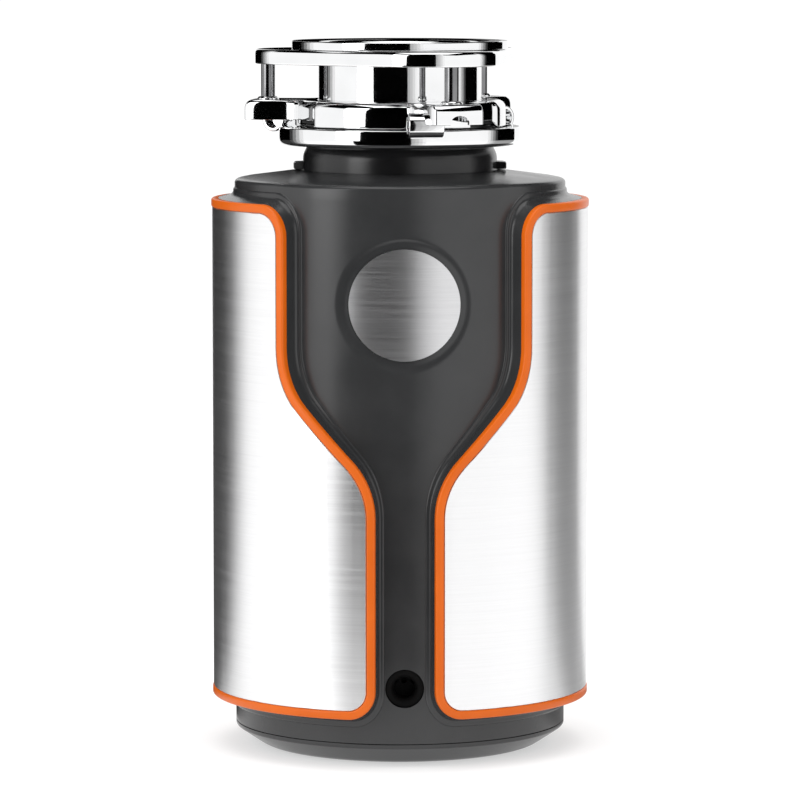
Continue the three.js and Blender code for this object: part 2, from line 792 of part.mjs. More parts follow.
function turntable() {
  const disc = turned([
    [SHAFT_R - 1.5 + RUN_GAP, TURNTABLE_Z],
    [TURNTABLE_R, TURNTABLE_Z],
    [TURNTABLE_R, TURNTABLE_Z + TURNTABLE_T],
    [SHAFT_R - 1.5 + RUN_GAP, TURNTABLE_Z + TURNTABLE_T],
  ], 30);
  const drains = Array.from({ length: 4 }, (_, i) => {
    const [x, y] = polar(60, 45 + i * 90);
    return moved(rod(3, TURNTABLE_Z - 1, TURNTABLE_Z + 6, 8), x, y, 0);
  });
  const pivots = [1, -1].map((side) => (
    moved(rod(3 + RUN_GAP, TURNTABLE_Z - 1, TURNTABLE_Z + 6, 16), side * IMPELLER_PIVOT_R, 0, 0)
  ));
  return cut(disc, ...drains, ...pivots);
}

function turntableNut() {
  const z = TURNTABLE_Z + TURNTABLE_T + RUN_GAP;
  const bore = circlePoints(SHAFT_R - 1.5 + RUN_GAP, 18);
  return prism(circlePoints(10, 6), z, z + 6, [bore]);
}

// Rivet that carries one impeller: head below the turntable, cap above the impeller.
function impellerPin(side) {
  const top = TURNTABLE_Z + TURNTABLE_T;
  const pin = turned([
    [0, TURNTABLE_Z - 2.5],
    [5, TURNTABLE_Z - 2.5],
    [5, TURNTABLE_Z - RUN_GAP],
    [3, TURNTABLE_Z - RUN_GAP],
    [3, top + 4],
    [5, top + 4],
    [5, top + 6],
    [0, top + 6],
  ], 16);
  return moved(pin, side * IMPELLER_PIVOT_R, 0, 0);
}

// Swinging hammer: a flat tongue on the pin and an upright block at its outer end.
function impeller(side) {
  const z = TURNTABLE_Z + TURNTABLE_T + RUN_GAP;
  const tongue = prism([
    ...circlePoints(7, 12).filter(([x]) => x < 2),
    [IMPELLER_LENGTH - 2, -9],
    [IMPELLER_LENGTH - 0.5, 0],
    [IMPELLER_LENGTH - 2, 9],
  ].sort((a, b) => Math.atan2(a[1], a[0] - 4) - Math.atan2(b[1], b[0] - 4)), z, z + 3.2);
  const block = box(10, IMPELLER_LENGTH - 3, -8, 8, z + 1, z + 15);
  const body = cut(fuse(tongue, block), rod(3 + RUN_GAP, z - 2, z + 20, 16));
  return moved(side > 0 ? body : spun(body, Math.PI), side * IMPELLER_PIVOT_R, 0, 0);
}

// ---------------------------------------------------------------- drain fittings at the back
function outletSpigot() {
  const y = SHELL_R + 3.1;
  const pipe = turned([
    [OUTLET_BORE_R - 1, y],
    [OUTLET_BOSS_R, y],
    [OUTLET_BOSS_R, y + 2.2],
    [OUTLET_BORE_R + 2, y + 2.2],
    [OUTLET_BORE_R + 2, OUTLET_END_Y],
    [OUTLET_BORE_R - 1, OUTLET_END_Y],
  ], 32);
  return towardsBack(pipe, 0, OUTLET_Z);
}

function outletGasket() {
  return towardsBack(tube(OUTLET_BORE_R, OUTLET_BOSS_R, SHELL_R + 0.8, SHELL_R + 2.8, 32), 0, OUTLET_Z);
}

// Oval clamp plate: a round middle drawn out to an ear round each screw.
function outletClamp() {
  const outline = [];
  for (let i = 0; i < 32; i += 1) {
    const angle = (i / 32) * Math.PI * 2;
    const ear = Math.pow(Math.abs(Math.cos(angle)), 6);
    const reach = 24 + 14 * ear;
    outline.push([reach * Math.cos(angle), reach * Math.sin(angle)]);
  }
  const holes = [
    circlePoints(OUTLET_BORE_R + 2 + RUN_GAP, 32),
    circlePoints(2.7, 12, 0, OUTLET_SCREW_X, 0),
    circlePoints(2.7, 12, 0, -OUTLET_SCREW_X, 0),
  ];
  return towardsBack(prism(outline, SHELL_R + 5.6, SHELL_R + 7.8, holes), 0, OUTLET_Z);
}

function outletScrew(side) {
  const head = SHELL_R + 8.1;
  const blank = turned([
    [0, 70],
    [2.4, 70],
    [2.4, head],
    [4.4, head],
    [4.4, head + 2.8],
    [0, head + 2.8],
  ], 12);
  const slot = box(-5, 5, -0.6, 0.6, head + 1.6, head + 4);
  return towardsBack(cut(blank, slot), side * OUTLET_SCREW_X, OUTLET_Z);
}

// ---------------------------------------------------------------- sink mount
function sinkFlange() {
  const inner = TUBE_R - TUBE_WALL;
  return turned([
    [inner, TUBE_Z0],
    [TUBE_R, TUBE_Z0],
    [TUBE_R, SNAP_RING_Z - RUN_GAP],
    [TUBE_R - 0.9, SNAP_RING_Z - RUN_GAP],
    [TUBE_R - 0.9, SNAP_RING_Z + SNAP_RING_H + RUN_GAP],
    [TUBE_R, SNAP_RING_Z + SNAP_RING_H + RUN_GAP],
    [TUBE_R, GASKET_Z1 + RUN_GAP],
    [SINK_LIP_R - 3, GASKET_Z1 + RUN_GAP],
    [SINK_LIP_R - 3, LIP_TOP_Z - 4],
    [SINK_LIP_R, LIP_TOP_Z - 4],
    [SINK_LIP_R, LIP_TOP_Z - 1],
    [SINK_LIP_R - 1, LIP_TOP_Z],
    [SINK_LIP_R - 7, LIP_TOP_Z],
    [TUBE_R + 0.9, LIP_TOP_Z - 0.6],
    [inner + 0.7, LIP_TOP_Z - 1.9],
    [inner, LIP_TOP_Z - 4.3],
  ], 30);
}

function snapRing() {
  const inner = TUBE_R - 0.6;
  const outer = inner + 3.2;
  const top = SNAP_RING_Z + SNAP_RING_H;
  const loop = [[inner, SNAP_RING_Z], [outer, SNAP_RING_Z], [outer, top], [inner, top]];
  return sweepRound(() => loop, 36, degrees(95), degrees(445));
}

// Distance from the axis to a triangle with three large round corners.
function backupReach(angle, shrink) {
  const third = degrees(120);
  let turn = (angle - degrees(MOUNT_SCREW_ANGLES[0])) % third;
  turn = turn < 0 ? turn + third : turn;
  turn = turn > third / 2 ? turn - third : turn;
  const radius = BACKUP_CORNER_R - shrink;
  const half = degrees(60);
  const meet = Math.atan2(radius * Math.sin(half), BACKUP_CENTRE + radius * Math.cos(half));
  const across = Math.abs(turn);
  if (across < meet) {
    const offset = BACKUP_CENTRE * Math.sin(across);
    return BACKUP_CENTRE * Math.cos(across) + Math.sqrt(radius ** 2 - offset ** 2);
  }
  return (BACKUP_CENTRE / 2 + radius) / Math.cos(half - across);
}

function backupFlange() {
  const bore = TUBE_R + 0.5;
  return sweepRound((angle) => {
    const reach = (shrink) => backupReach(angle, shrink);
    return [
      [bore, BACKUP_Z1 - BACKUP_SHEET],
      [reach(BACKUP_SHEET), BACKUP_Z1 - BACKUP_SHEET],
      [reach(BACKUP_SHEET), BACKUP_Z0],
      [reach(0), BACKUP_Z0],
      [reach(0), BACKUP_Z1 - 1.6],
      [reach(0.5), BACKUP_Z1 - 0.5],
      [reach(1.6), BACKUP_Z1],
      [bore, BACKUP_Z1],
    ];
  }, 42);
}

function fibreGasket() {
  return tube(TUBE_R + 0.5, SINK_LIP_R - 3.4, BACKUP_Z1 + 0.1, GASKET_Z1, 30);
}

// Clamping screw: its domed top presses under the backup flange, its slotted end faces down.
function mountingScrew(angle) {
  const [x, y] = polar(MOUNT_SCREW_CIRCLE, angle);
  const top = BACKUP_Z1 - BACKUP_SHEET - RUN_GAP;
  const bottom = UPPER_RING_Z - UPPER_PLATE;
  const blank = turned([
    [0, bottom],
    [MOUNT_SCREW_R, bottom],
    [MOUNT_SCREW_R, top - 1.2],
    [MOUNT_SCREW_R - 1.2, top],
    [0, top],
  ], 12);
  return moved(cut(blank, box(-5, 5, -0.6, 0.6, bottom - 1, bottom + 1.4)), x, y, 0);
}

// One tab of the upper ring: it runs out under a screw and curves down at its end.
function ringTab(angle) {
  const section = (shrink) => [
    [UPPER_SKIRT_R - 6, UPPER_RING_Z - shrink],
    [LOBE_REACH - 9, UPPER_RING_Z - shrink],
    [LOBE_REACH - 3.2, UPPER_RING_Z - 2 - shrink],
    [LOBE_REACH - shrink * 0.6, UPPER_RING_Z - 6.5],
    [LOBE_REACH - shrink * 0.7, LOBE_Z0],
  ];
  const outside = section(0);
  const inside = section(UPPER_PLATE).reverse();
  const half = degrees(11.5);
  return sweepRound(() => [...outside, ...inside], 4, degrees(angle) - half, degrees(angle) + half);
}

function upperMountingRing() {
  const plateBottom = UPPER_RING_Z - UPPER_PLATE;
  const ring = turned([
    [TUBE_R + 0.5, plateBottom],
    [UPPER_SKIRT_R - 2.5, plateBottom],
    [UPPER_SKIRT_R - 2.5, UPPER_SKIRT_Z0],
    [UPPER_SKIRT_R, UPPER_SKIRT_Z0],
    [UPPER_SKIRT_R, plateBottom + 1.2],
    [UPPER_SKIRT_R + 3, plateBottom + 1.2],
    [UPPER_SKIRT_R + 3.6, UPPER_RING_Z - 1.2],
    [UPPER_SKIRT_R + 2.4, UPPER_RING_Z],
    [TUBE_R + 0.5, UPPER_RING_Z],
  ], 42);
  const holes = MOUNT_SCREW_ANGLES.map((angle) => {
    const [x, y] = polar(MOUNT_SCREW_CIRCLE, angle);
    return moved(rod(MOUNT_SCREW_R + RUN_GAP, plateBottom - 4, UPPER_RING_Z + 4, 12), x, y, 0);
  });
  const bosses = MOUNT_SCREW_ANGLES.map((angle) => {
    const [x, y] = polar(MOUNT_SCREW_CIRCLE, angle);
    return moved(rod(MOUNT_SCREW_R + 2, UPPER_RING_Z - 2, UPPER_RING_Z + 1.4, 12), x, y, 0);
  });
  const windows = MOUNT_SCREW_ANGLES.map((angle) => (
    spun(box(UPPER_SKIRT_R - 5, UPPER_SKIRT_R + 2, -6, 6, UPPER_SKIRT_Z0 - 1, 337), degrees(angle + 6))
  ));
  return cut(fuse(ring, ...MOUNT_SCREW_ANGLES.map(ringTab), ...bosses), ...holes, ...windows);
}

// One rolled barrel of the lower ring, with the web that joins it to the ring.
function ringBarrel(angle) {
  const barrel = turned([
    [0, -BARREL_HALF],
    [BARREL_R - 0.6, -BARREL_HALF],
    [BARREL_R, -BARREL_HALF + 0.6],
    [BARREL_R, BARREL_HALF - 0.6],
    [BARREL_R - 0.6, BARREL_HALF],
    [0, BARREL_HALF],
  ], 14);
  const web = box(LOWER_RING_R - 5, BARREL_CIRCLE, -8.6, 8.6, LOWER_RING_Z0 + 2, LOWER_RING_Z1 - 0.6);
  return spun(fuse(towardsBack(barrel, 0, 0).translate(BARREL_CIRCLE, 0, BARREL_Z), web), degrees(angle));
}

function lowerMountingRing() {
  const ring = turned([
    [NECK_R + 0.5, LOWER_RING_Z0],
    [LOWER_RING_R - 3, LOWER_RING_Z0],
    [LOWER_RING_R - 0.9, LOWER_RING_Z0 + 0.9],
    [LOWER_RING_R, LOWER_RING_Z0 + 3],
    [LOWER_RING_R, LOWER_RING_Z1 - 0.8],
    [LOWER_RING_R - 0.8, LOWER_RING_Z1],
    [NECK_R + 0.5, LOWER_RING_Z1],
  ], 40);
  return fuse(ring, ...BARREL_ANGLES.map(ringBarrel));
}

const BAFFLE_FLAPS = 8;

// Rubber splash guard: a sealing rim on the neck, and a shallow cone cut into flaps.
function splashBaffle() {
  const rim = LOWER_RING_Z1 + 1.9;
  const cone = turned([
    [5, 318],
    [7, 316.4],
    [NECK_R - 5.5, 322],
    [NECK_R - 3.4, 325],
    [NECK_R - 3.4, rim],
    [LIP_R, rim],
    [LIP_R, TUBE_Z0 - RUN_GAP],
    [NECK_R - 7.5, TUBE_Z0 - RUN_GAP],
    [NECK_R - 7.5, 325],
  ], 24);
  const slits = Array.from({ length: BAFFLE_FLAPS }, (_, i) => (
    spun(box(3, 36, -0.5, 0.5, 310, 330), (i / BAFFLE_FLAPS) * Math.PI * 2)
  ));
  return cut(cone, ...slits);
}

// ---------------------------------------------------------------- electrical parts and lining
function capacitor() {
  return moved(turned([[0, 45], [12, 45], [12.5, 46], [12.5, 92], [10.5, 94], [0, 94]], 20), 79, 0, 0);
}

function overloadProtector() {
  return box(RESET_X - 10, RESET_X + 10, -8, 8, 12.8, 23);
}

function resetButton() {
  const button = turned([
    [0, 0.8],
    [3.6, 0.8],
    [4, 1.2],
    [4, 3.6],
    [5.6, 3.6],
    [5.6, 5],
    [2.5, 5],
    [2.5, 9.5],
    [0, 9.5],
  ], 16);
  return moved(button, RESET_X, 0, 0);
}

function terminalBlock() {
  const block = box(-9, 9, -76, -67, 34, 49);
  const recesses = [-5, 0, 5].map((x) => moved(towardsBack(rod(1.6, -78, -72, 10), 0, 0), x, 0, 44));
  return cut(block, ...recesses);
}

function groundScrew() {
  const z = LOWER_FRAME_Z + FRAME_PLATE + RUN_GAP;
  const screw = turned([[0, 27], [1.5, 27], [1.5, z], [4, z], [4, z + 2.2], [0, z + 2.2]], 12);
  return moved(screw, ...GROUND_SCREW_XY, 0);
}

function insulationWrap() {
  return cut(
    tube(CHAMBER_R + 2.6, SHELL_R - SHELL_WALL - 0.9, 212, 274, 24),
    dishwasherAxis(rod(DISHWASHER_R + 1, 60, 100, 16)),
  );
}

// ---------------------------------------------------------------- build
part('outer_shell', outerShell(), 'darkPlastic');
part('bottom_cover', bottomCover(), 'darkPlastic');
COVER_SCREW_ANGLES.forEach((angle, i) => part(`cover_screw_${i + 1}`, coverScrew(angle), 'steel'));
const trim = trimFrame();
part('trim_right', trim, 'orange');
part('trim_left', mirrored(trim), 'orange');
const panel = steelPanel();
part('side_panel_right', panel, 'steel');
part('side_panel_left', mirrored(panel), 'steel');
part('front_badge', badgeDisc(), 'steel');
part('cord_gland', cordGland(), 'blackPlastic');

part('rotor_shaft', rotorShaft(), 'steel');
part('rotor_core', tube(SHAFT_R + RUN_GAP, ROTOR_R, STATOR_Z0 - 1, STATOR_Z1 + 1, 18), 'aluminium');
part('lower_bearing', bearing(LOWER_FRAME_Z + 2.1), 'steel');
part('upper_bearing', bearing(UPPER_FRAME_Z + FRAME_PLATE - 2.1 - BEARING_H), 'steel');
part('lower_end_frame', lowerEndFrame(), 'castIron');
part('upper_end_frame', upperEndFrame(), 'castIron');
TIE_BOLT_ANGLES.forEach((angle, i) => part(`tie_bolt_${i + 1}`, tieBolt(angle), 'steel'));
part('stator_core', statorCore(), 'castIron');
part('stator_coil_lower', statorCoil(STATOR_Z0 - COIL_H - RUN_GAP), 'copper');
part('stator_coil_upper', statorCoil(STATOR_Z1 + RUN_GAP), 'copper');
part('capacitor', capacitor(), 'blackPlastic');
part('overload_protector', overloadProtector(), 'blackPlastic');
part('reset_button', resetButton(), 'red');
part('terminal_block', terminalBlock(), 'paleFibre');
part('ground_screw', groundScrew(), 'green');

part('drain_chamber', drainChamber(), 'castIron');
part('shaft_seal', shaftSeal(), 'rubber');
part('grind_chamber', grindChamber(), 'blackPlastic');
part('shredder_ring', shredderRing(), 'steel');
part('turntable', turntable(), 'steel');
part('turntable_nut', turntableNut(), 'steel');
[1, -1].forEach((side, i) => {
  part(`impeller_pin_${i + 1}`, impellerPin(side), 'steel');
  part(`impeller_${i + 1}`, impeller(side), 'steel');
});
part('dishwasher_plug', dishwasherPlug(), 'rubber');
part('insulation_wrap', insulationWrap(), 'foam');

part('outlet_spigot', outletSpigot(), 'blackPlastic');
part('outlet_gasket', outletGasket(), 'rubber');
part('outlet_clamp', outletClamp(), 'steel');
[1, -1].forEach((side, i) => part(`outlet_screw_${i + 1}`, outletScrew(side), 'steel'));

part('sink_flange', sinkFlange(), 'chrome');
part('fibre_gasket', fibreGasket(), 'paleFibre');
part('backup_flange', backupFlange(), 'chrome');
MOUNT_SCREW_ANGLES.forEach((angle, i) => part(`mounting_screw_${i + 1}`, mountingScrew(angle), 'chrome'));
part('upper_mounting_ring', upperMountingRing(), 'chrome');
part('snap_ring', snapRing(), 'steel');
part('lower_mounting_ring', lowerMountingRing(), 'chrome');
part('splash_baffle', splashBaffle(), 'rubber');

export default assembly;
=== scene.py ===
"""Looks of the food waste disposer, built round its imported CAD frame. Lengths in millimetres."""

import json
import math

import bmesh
import bpy
from mathutils import Matrix, Vector


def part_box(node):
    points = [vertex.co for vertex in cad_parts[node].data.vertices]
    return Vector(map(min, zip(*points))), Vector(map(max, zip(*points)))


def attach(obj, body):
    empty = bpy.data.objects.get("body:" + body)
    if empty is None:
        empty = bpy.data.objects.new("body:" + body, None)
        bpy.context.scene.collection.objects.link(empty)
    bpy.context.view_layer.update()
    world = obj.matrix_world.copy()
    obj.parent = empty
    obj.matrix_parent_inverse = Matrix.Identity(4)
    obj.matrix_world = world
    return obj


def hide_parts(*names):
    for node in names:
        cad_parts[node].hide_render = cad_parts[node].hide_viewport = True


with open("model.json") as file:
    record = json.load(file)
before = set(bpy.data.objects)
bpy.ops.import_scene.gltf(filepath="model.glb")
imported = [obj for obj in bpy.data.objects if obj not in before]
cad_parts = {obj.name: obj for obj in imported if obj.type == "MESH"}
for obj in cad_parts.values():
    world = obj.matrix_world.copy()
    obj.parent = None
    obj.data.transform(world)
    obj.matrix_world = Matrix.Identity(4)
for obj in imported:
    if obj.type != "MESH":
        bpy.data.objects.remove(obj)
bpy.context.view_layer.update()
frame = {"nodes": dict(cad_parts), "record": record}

MM = 0.001
TURN = 2 * math.pi


# ---------------------------------------------------------------- sizes, from the frame
def lowest(node, axis):
    """Least coordinate of a CAD node along an axis, in millimetres."""
    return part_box(node)[0][axis] / MM


def highest(node, axis):
    """Greatest coordinate of a CAD node along an axis, in millimetres."""
    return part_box(node)[1][axis] / MM


X, Y, Z = 0, 1, 2
TRIM_R = highest("trim_right", X)
PANEL_R = highest("side_panel_right", X)
PANEL_Z0 = lowest("trim_right", Z)
PANEL_Z1 = highest("trim_right", Z)
TRIM_WIDTH = 4.5
TRIM_BACK = TRIM_R - 3.8
CORE_R = highest("bottom_cover", X)
CORE_WALL = 2.5
CORE_TOP = highest("outer_shell", Z)
CORE_EDGE = CORE_TOP - 4.3
CORE_FOOT = lowest("outer_shell", Z)
NECK_HOLE_R = 51.7
BASE_FLAT_R = 73
BASE_CHAMFER = 10
SOCKET_HOLE_R = 10

# The side panels' outline: arc length at 100 mm radius against height.
OUTLINE_R = 100
STEM_HALF = 15.7
HEAD_HALF = 67.9
CURVE_R = 42
CURVE_Z0 = 131
FOOT_CORNER_R = 14.7
HEAD_CORNER_R = 16.7
LEDGE_RISE = 2.0

BADGE_Z = (lowest("front_badge", Z) + highest("front_badge", Z)) / 2
BADGE_R = (highest("front_badge", X) - lowest("front_badge", X)) / 2
RECESS_R = 34.5
RECESS_DEPTH = 1.3
CORD_Z = (lowest("cord_gland", Z) + highest("cord_gland", Z)) / 2
CORD_R = 9.9
OUTLET_Z = (lowest("outlet_spigot", Z) + highest("outlet_spigot", Z)) / 2
OUTLET_BOSS_R = 21.5
OUTLET_BORE_R = 17.5
OUTLET_SCREW_X = (lowest("outlet_screw_1", X) + highest("outlet_screw_1", X)) / 2
INLET_ANGLE = 22
INLET_Z = (lowest("dishwasher_plug", Z) + highest("dishwasher_plug", Z)) / 2
INLET_R = 11

CHAMBER_R = 79.8
NECK_R = 51
SCREW_ANGLES = (-69.5, 50.5, 170.5)
SECTOR_ANGLES = (-117, 3, 123)
SCREW_CIRCLE = 71
SCREW_R = 3.75
BARREL_ANGLES = (-80.5, 39.5, 159.5)
BARREL_TWIST = -3
BARREL_CIRCLE = 68
BARREL_R = 6.4
BARREL_HALF = 9.2
LOWER_Z0 = lowest("lower_mounting_ring", Z)
LOWER_Z1 = LOWER_Z0 + 9.6
LOWER_R = 64.3
BARREL_Z = highest("lower_mounting_ring", Z) - BARREL_R
UPPER_Z = 344
# The upper ring's skirt and the neck's flange are drawn slimmer than in the CAD frame.
UPPER_SKIRT_R = 56.2
FLANGE_R = 53
UPPER_SKIRT_Z0 = lowest("upper_mounting_ring", Z)
LOBE_REACH = 82.5
LOBE_Z0 = 333.3
TUBE_R = 43.3
TUBE_Z0 = lowest("sink_flange", Z)
LIP_TOP = highest("sink_flange", Z)
LIP_R = highest("sink_flange", X)
BACKUP_Z0 = lowest("backup_flange", Z)
BACKUP_Z1 = highest("backup_flange", Z)
BACKUP_CENTRE = 40.9
BACKUP_CORNER_R = 36.6


# ---------------------------------------------------------------- mesh building
class Shape:
    """Collects corners and faces in millimetres, then becomes one object."""

    def __init__(self):
        self.corners = []
        self.faces = []

    def add(self, corners, faces):
        start = len(self.corners)
        self.corners += [Vector(c) for c in corners]
        self.faces += [[start + i for i in face] for face in faces]
        return self

    def grid(self, rows, close_rows=False, close_columns=False):
        """Quads between equal rows of points."""
        wide, tall = len(rows[0]), len(rows)
        faces = []
        for j in range(tall if close_rows else tall - 1):
            k = (j + 1) % tall
            for i in range(wide if close_columns else wide - 1):
                m = (i + 1) % wide
                faces.append([j * wide + i, j * wide + m, k * wide + m, k * wide + i])
        return self.add([p for row in rows for p in row], faces)

    def sweep(self, section, steps=0, start=0.0, end=360.0, matrix=None, angles=None):
        """Solid round Z, at equal steps or at the given angles of a full turn.

        section(angle in degrees) is a closed loop of (radius, height).
        """
        full = abs(end - start - 360) < 1e-6
        if angles is None:
            count = steps if full else steps + 1
            angles = [start + (end - start) * s / steps for s in range(count)]
        rows = []
        for degrees in angles:
            a = math.radians(degrees)
            rows.append([Vector((r * math.cos(a), r * math.sin(a), z)) for r, z in section(degrees)])
        if matrix is not None:
            rows = [[matrix @ p for p in row] for row in rows]
        if not full:
            self.add(rows[0], [list(range(len(rows[0])))])
            self.add(rows[-1], [list(range(len(rows[-1])))])
        return self.grid(rows, close_rows=full, close_columns=True)

    def turned(self, loop, steps=160, matrix=None):
        """Solid of revolution of one loop round Z."""
        return self.sweep(lambda degrees: loop, steps, matrix=matrix)

    def block(self, low, high, matrix=None):
        """Box between two opposite corners."""
        corners = [
            Vector((x, y, z))
            for z in (low[2], high[2])
            for y in (low[1], high[1])
            for x in (low[0], high[0])
        ]
        if matrix is not None:
            corners = [matrix @ c for c in corners]
        faces = [[0, 1, 3, 2], [4, 6, 7, 5], [0, 4, 5, 1], [2, 3, 7, 6], [0, 2, 6, 4], [1, 5, 7, 3]]
        return self.add(corners, faces)

    def build(self, name, sharp=32, merge=0.001):
        """Makes the object: doubles merged, faces turned outward, edges over sharp degrees kept sharp."""
        mesh = bpy.data.meshes.new(name)
        mesh.from_pydata([c * MM for c in self.corners], [], self.faces)
        work = bmesh.new()
        work.from_mesh(mesh)
        bmesh.ops.remove_doubles(work, verts=work.verts, dist=merge * MM)
        bmesh.ops.dissolve_degenerate(work, edges=work.edges, dist=merge * MM)
        bmesh.ops.recalc_face_normals(work, faces=work.faces)
        work.to_mesh(mesh)
        work.free()
        piece = bpy.data.objects.new(name, mesh)
        bpy.context.scene.collection.objects.link(piece)
        smooth(piece, sharp)
        return piece


def smooth(piece, sharp=32):
    piece.data.shade_smooth()
    piece.data.set_sharp_from_angle(angle=math.radians(sharp))


def rounded(loop, steps=4):
    """A closed loop of (r, z) or (r, z, rounding): each corner with a rounding becomes an arc."""
    points = []
    count = len(loop)
    for i, corner in enumerate(loop):
        here = Vector(corner[:2])
        size = corner[2] if len(corner) > 2 else 0
        if not size:
            points.append(tuple(here))
            continue
        before = Vector(loop[i - 1][:2]) - here
        after = Vector(loop[(i + 1) % count][:2]) - here
        reach = min(size, before.length * 0.49, after.length * 0.49)
        start = here + before.normalized() * reach
        end = here + after.normalized() * reach
        for k in range(steps + 1):
            t = k / steps
            points.append(tuple(start * (1 - t) ** 2 + here * 2 * t * (1 - t) + end * t ** 2))
    return points


def along_back(x, z):
    """Turns a shape built along +Z so that it points along +Y at this height."""
    return Matrix.Translation((x, 0, z)) @ Matrix.Rotation(-math.pi / 2, 4, "X")


def spin(degrees):
    return Matrix.Rotation(math.radians(degrees), 4, "Z")


def cut_out(piece, cutters):
    """Cuts each cutter from piece and removes it."""
    for cutter in cutters:
        step = piece.modifiers.new("cut", "BOOLEAN")
        step.operation = "DIFFERENCE"
        step.solver = "EXACT"
        step.object = cutter
    bpy.context.view_layer.update()
    depsgraph = bpy.context.evaluated_depsgraph_get()
    mesh = bpy.data.meshes.new_from_object(piece.evaluated_get(depsgraph))
    piece.modifiers.clear()
    piece.data = mesh
    for cutter in cutters:
        bpy.data.objects.remove(cutter)
    smooth(piece)


def rod_cutter(name, radius, low, high, matrix=None, steps=64):
    """Solid rod along the matrix's Z, used only to cut holes."""
    loop = [(0, low), (radius, low), (radius, high), (0, high)]
    return Shape().turned(loop, steps, matrix).build(name)


def soft_step(t):
    """0 up to t = 0 and 1 from t = 1 on, with a smooth rise between."""
    t = min(max(t, 0), 1)
    return t * t * (3 - 2 * t)


# ---------------------------------------------------------------- side panel outline
def arc(cx, cz, radius, start, end, steps=12):
    """Points on a circle between two angles in degrees."""
    turns = [math.radians(start + (end - start) * i / steps) for i in range(steps + 1)]
    return [(cx + radius * math.cos(a), cz + radius * math.sin(a)) for a in turns]


def panel_outline(inset):
    """Closed loop of (angle in degrees from the front, height), with as many points at any inset."""
    side = CURVE_R * (1 - math.cos(math.radians(45)))
    slant = HEAD_HALF - STEM_HALF - 2 * side
    curve_z1 = CURVE_Z0 + 2 * CURVE_R * math.sin(math.radians(45)) + slant
    middle = math.radians(90) * OUTLINE_R

    def straight(start, height, count):
        return [(start + (middle - start) * (i + 1) / count, height) for i in range(count)]

    def between(a, b, count):
        parts = [i / count for i in range(1, count)]
        return [(a[0] + (b[0] - a[0]) * t, a[1] + (b[1] - a[1]) * t) for t in parts]

    foot = arc(STEM_HALF + FOOT_CORNER_R, PANEL_Z0 + FOOT_CORNER_R, FOOT_CORNER_R - inset, -90, -180)
    lower = arc(STEM_HALF + CURVE_R, CURVE_Z0, CURVE_R - inset, 180, 135)
    upper = arc(HEAD_HALF - CURVE_R, curve_z1, CURVE_R + inset, -45, 0)
    head = arc(HEAD_HALF + HEAD_CORNER_R, PANEL_Z1 - HEAD_CORNER_R, HEAD_CORNER_R - inset, 180, 90)
    front = straight(STEM_HALF + FOOT_CORNER_R, PANEL_Z0 + inset, 40)[::-1]
    front += foot + between(foot[-1], lower[0], 8) + lower + between(lower[-1], upper[0], 8) + upper
    front += between(upper[-1], head[0], 6) + head
    front += straight(HEAD_HALF + HEAD_CORNER_R, PANEL_Z1 - inset, 24)
    back = [(2 * middle - s, z) for s, z in front[::-1]]
    return [(math.degrees(s / OUTLINE_R), z) for s, z in front + back]


def on_body(angle, radius, z, side):
    """The point at this angle from the front, on the right (side 1) or left (side -1)."""
    a = math.radians(angle)
    return Vector((side * radius * math.sin(a), -radius * math.cos(a), z))


def ring_wall(shape, section, side):
    """A band that follows the outline. section lists (inset, radius, rise)."""
    middle = (PANEL_Z0 + PANEL_Z1) / 2
    half = (PANEL_Z1 - PANEL_Z0) / 2
    rows = []
    for inset, radius, rise in section:
        stretch = 1 + rise / half
        outline = panel_outline(inset)
        rows.append([on_body(a, radius, middle + (z - middle) * stretch, side) for a, z in outline])
    return shape.grid(rows, close_columns=True)


def clip_strip(loop, low, high):
    """The part of a closed loop whose first coordinate lies between low and high."""
    def keep(points, limit, sign):
        out = []
        for i, p in enumerate(points):
            q = points[(i + 1) % len(points)]
            in_p = sign * (p[0] - limit) >= 0
            in_q = sign * (q[0] - limit) >= 0
            if in_p:
                out.append(p)
            if in_p != in_q:
                t = (limit - p[0]) / (q[0] - p[0])
                out.append((limit, p[1] + t * (q[1] - p[1])))
        return out
    return keep(keep(loop, low, 1), high, -1)


def curved_sheet(shape, inset, radius, side, strip=2.0):
    """The face inside the outline, cut into upright strips so that it follows the cylinder."""
    loop = panel_outline(inset)
    for k in range(int(180 / strip)):
        piece = clip_strip(loop, k * strip, (k + 1) * strip)
        clean = [p for i, p in enumerate(piece) if math.dist(p, piece[i - 1]) > 1e-4]
        if len(clean) >= 3:
            shape.add([on_body(a, radius, z, side) for a, z in clean], [list(range(len(clean)))])
    return shape


# ---------------------------------------------------------------- materials
def new_material(name):
    material = bpy.data.materials.new(name)
    material.use_nodes = True
    tree = material.node_tree
    return material, tree, tree.nodes["Principled BSDF"]


def node(tree, kind, **settings):
    made = tree.nodes.new(kind)
    for key, value in settings.items():
        setattr(made, key, value)
    return made


def noise(tree, scale, detail=4, vector=None, roughness=0.55):
    """Noise value in the object's own coordinates, or along the given vector."""
    made = node(tree, "ShaderNodeTexNoise")
    made.inputs["Scale"].default_value = scale
    made.inputs["Detail"].default_value = detail
    made.inputs["Roughness"].default_value = roughness
    if vector is None:
        vector = node(tree, "ShaderNodeTexCoord").outputs["Object"]
    tree.links.new(vector, made.inputs["Vector"])
    return made.outputs["Fac"]


def remap(tree, value, low, high, start=0.3, end=0.7):
    """Spreads a value between start and end over low to high."""
    made = node(tree, "ShaderNodeMapRange")
    made.inputs["From Min"].default_value = start
    made.inputs["From Max"].default_value = end
    made.inputs["To Min"].default_value = low
    made.inputs["To Max"].default_value = high
    tree.links.new(value, made.inputs["Value"])
    return made.outputs["Result"]


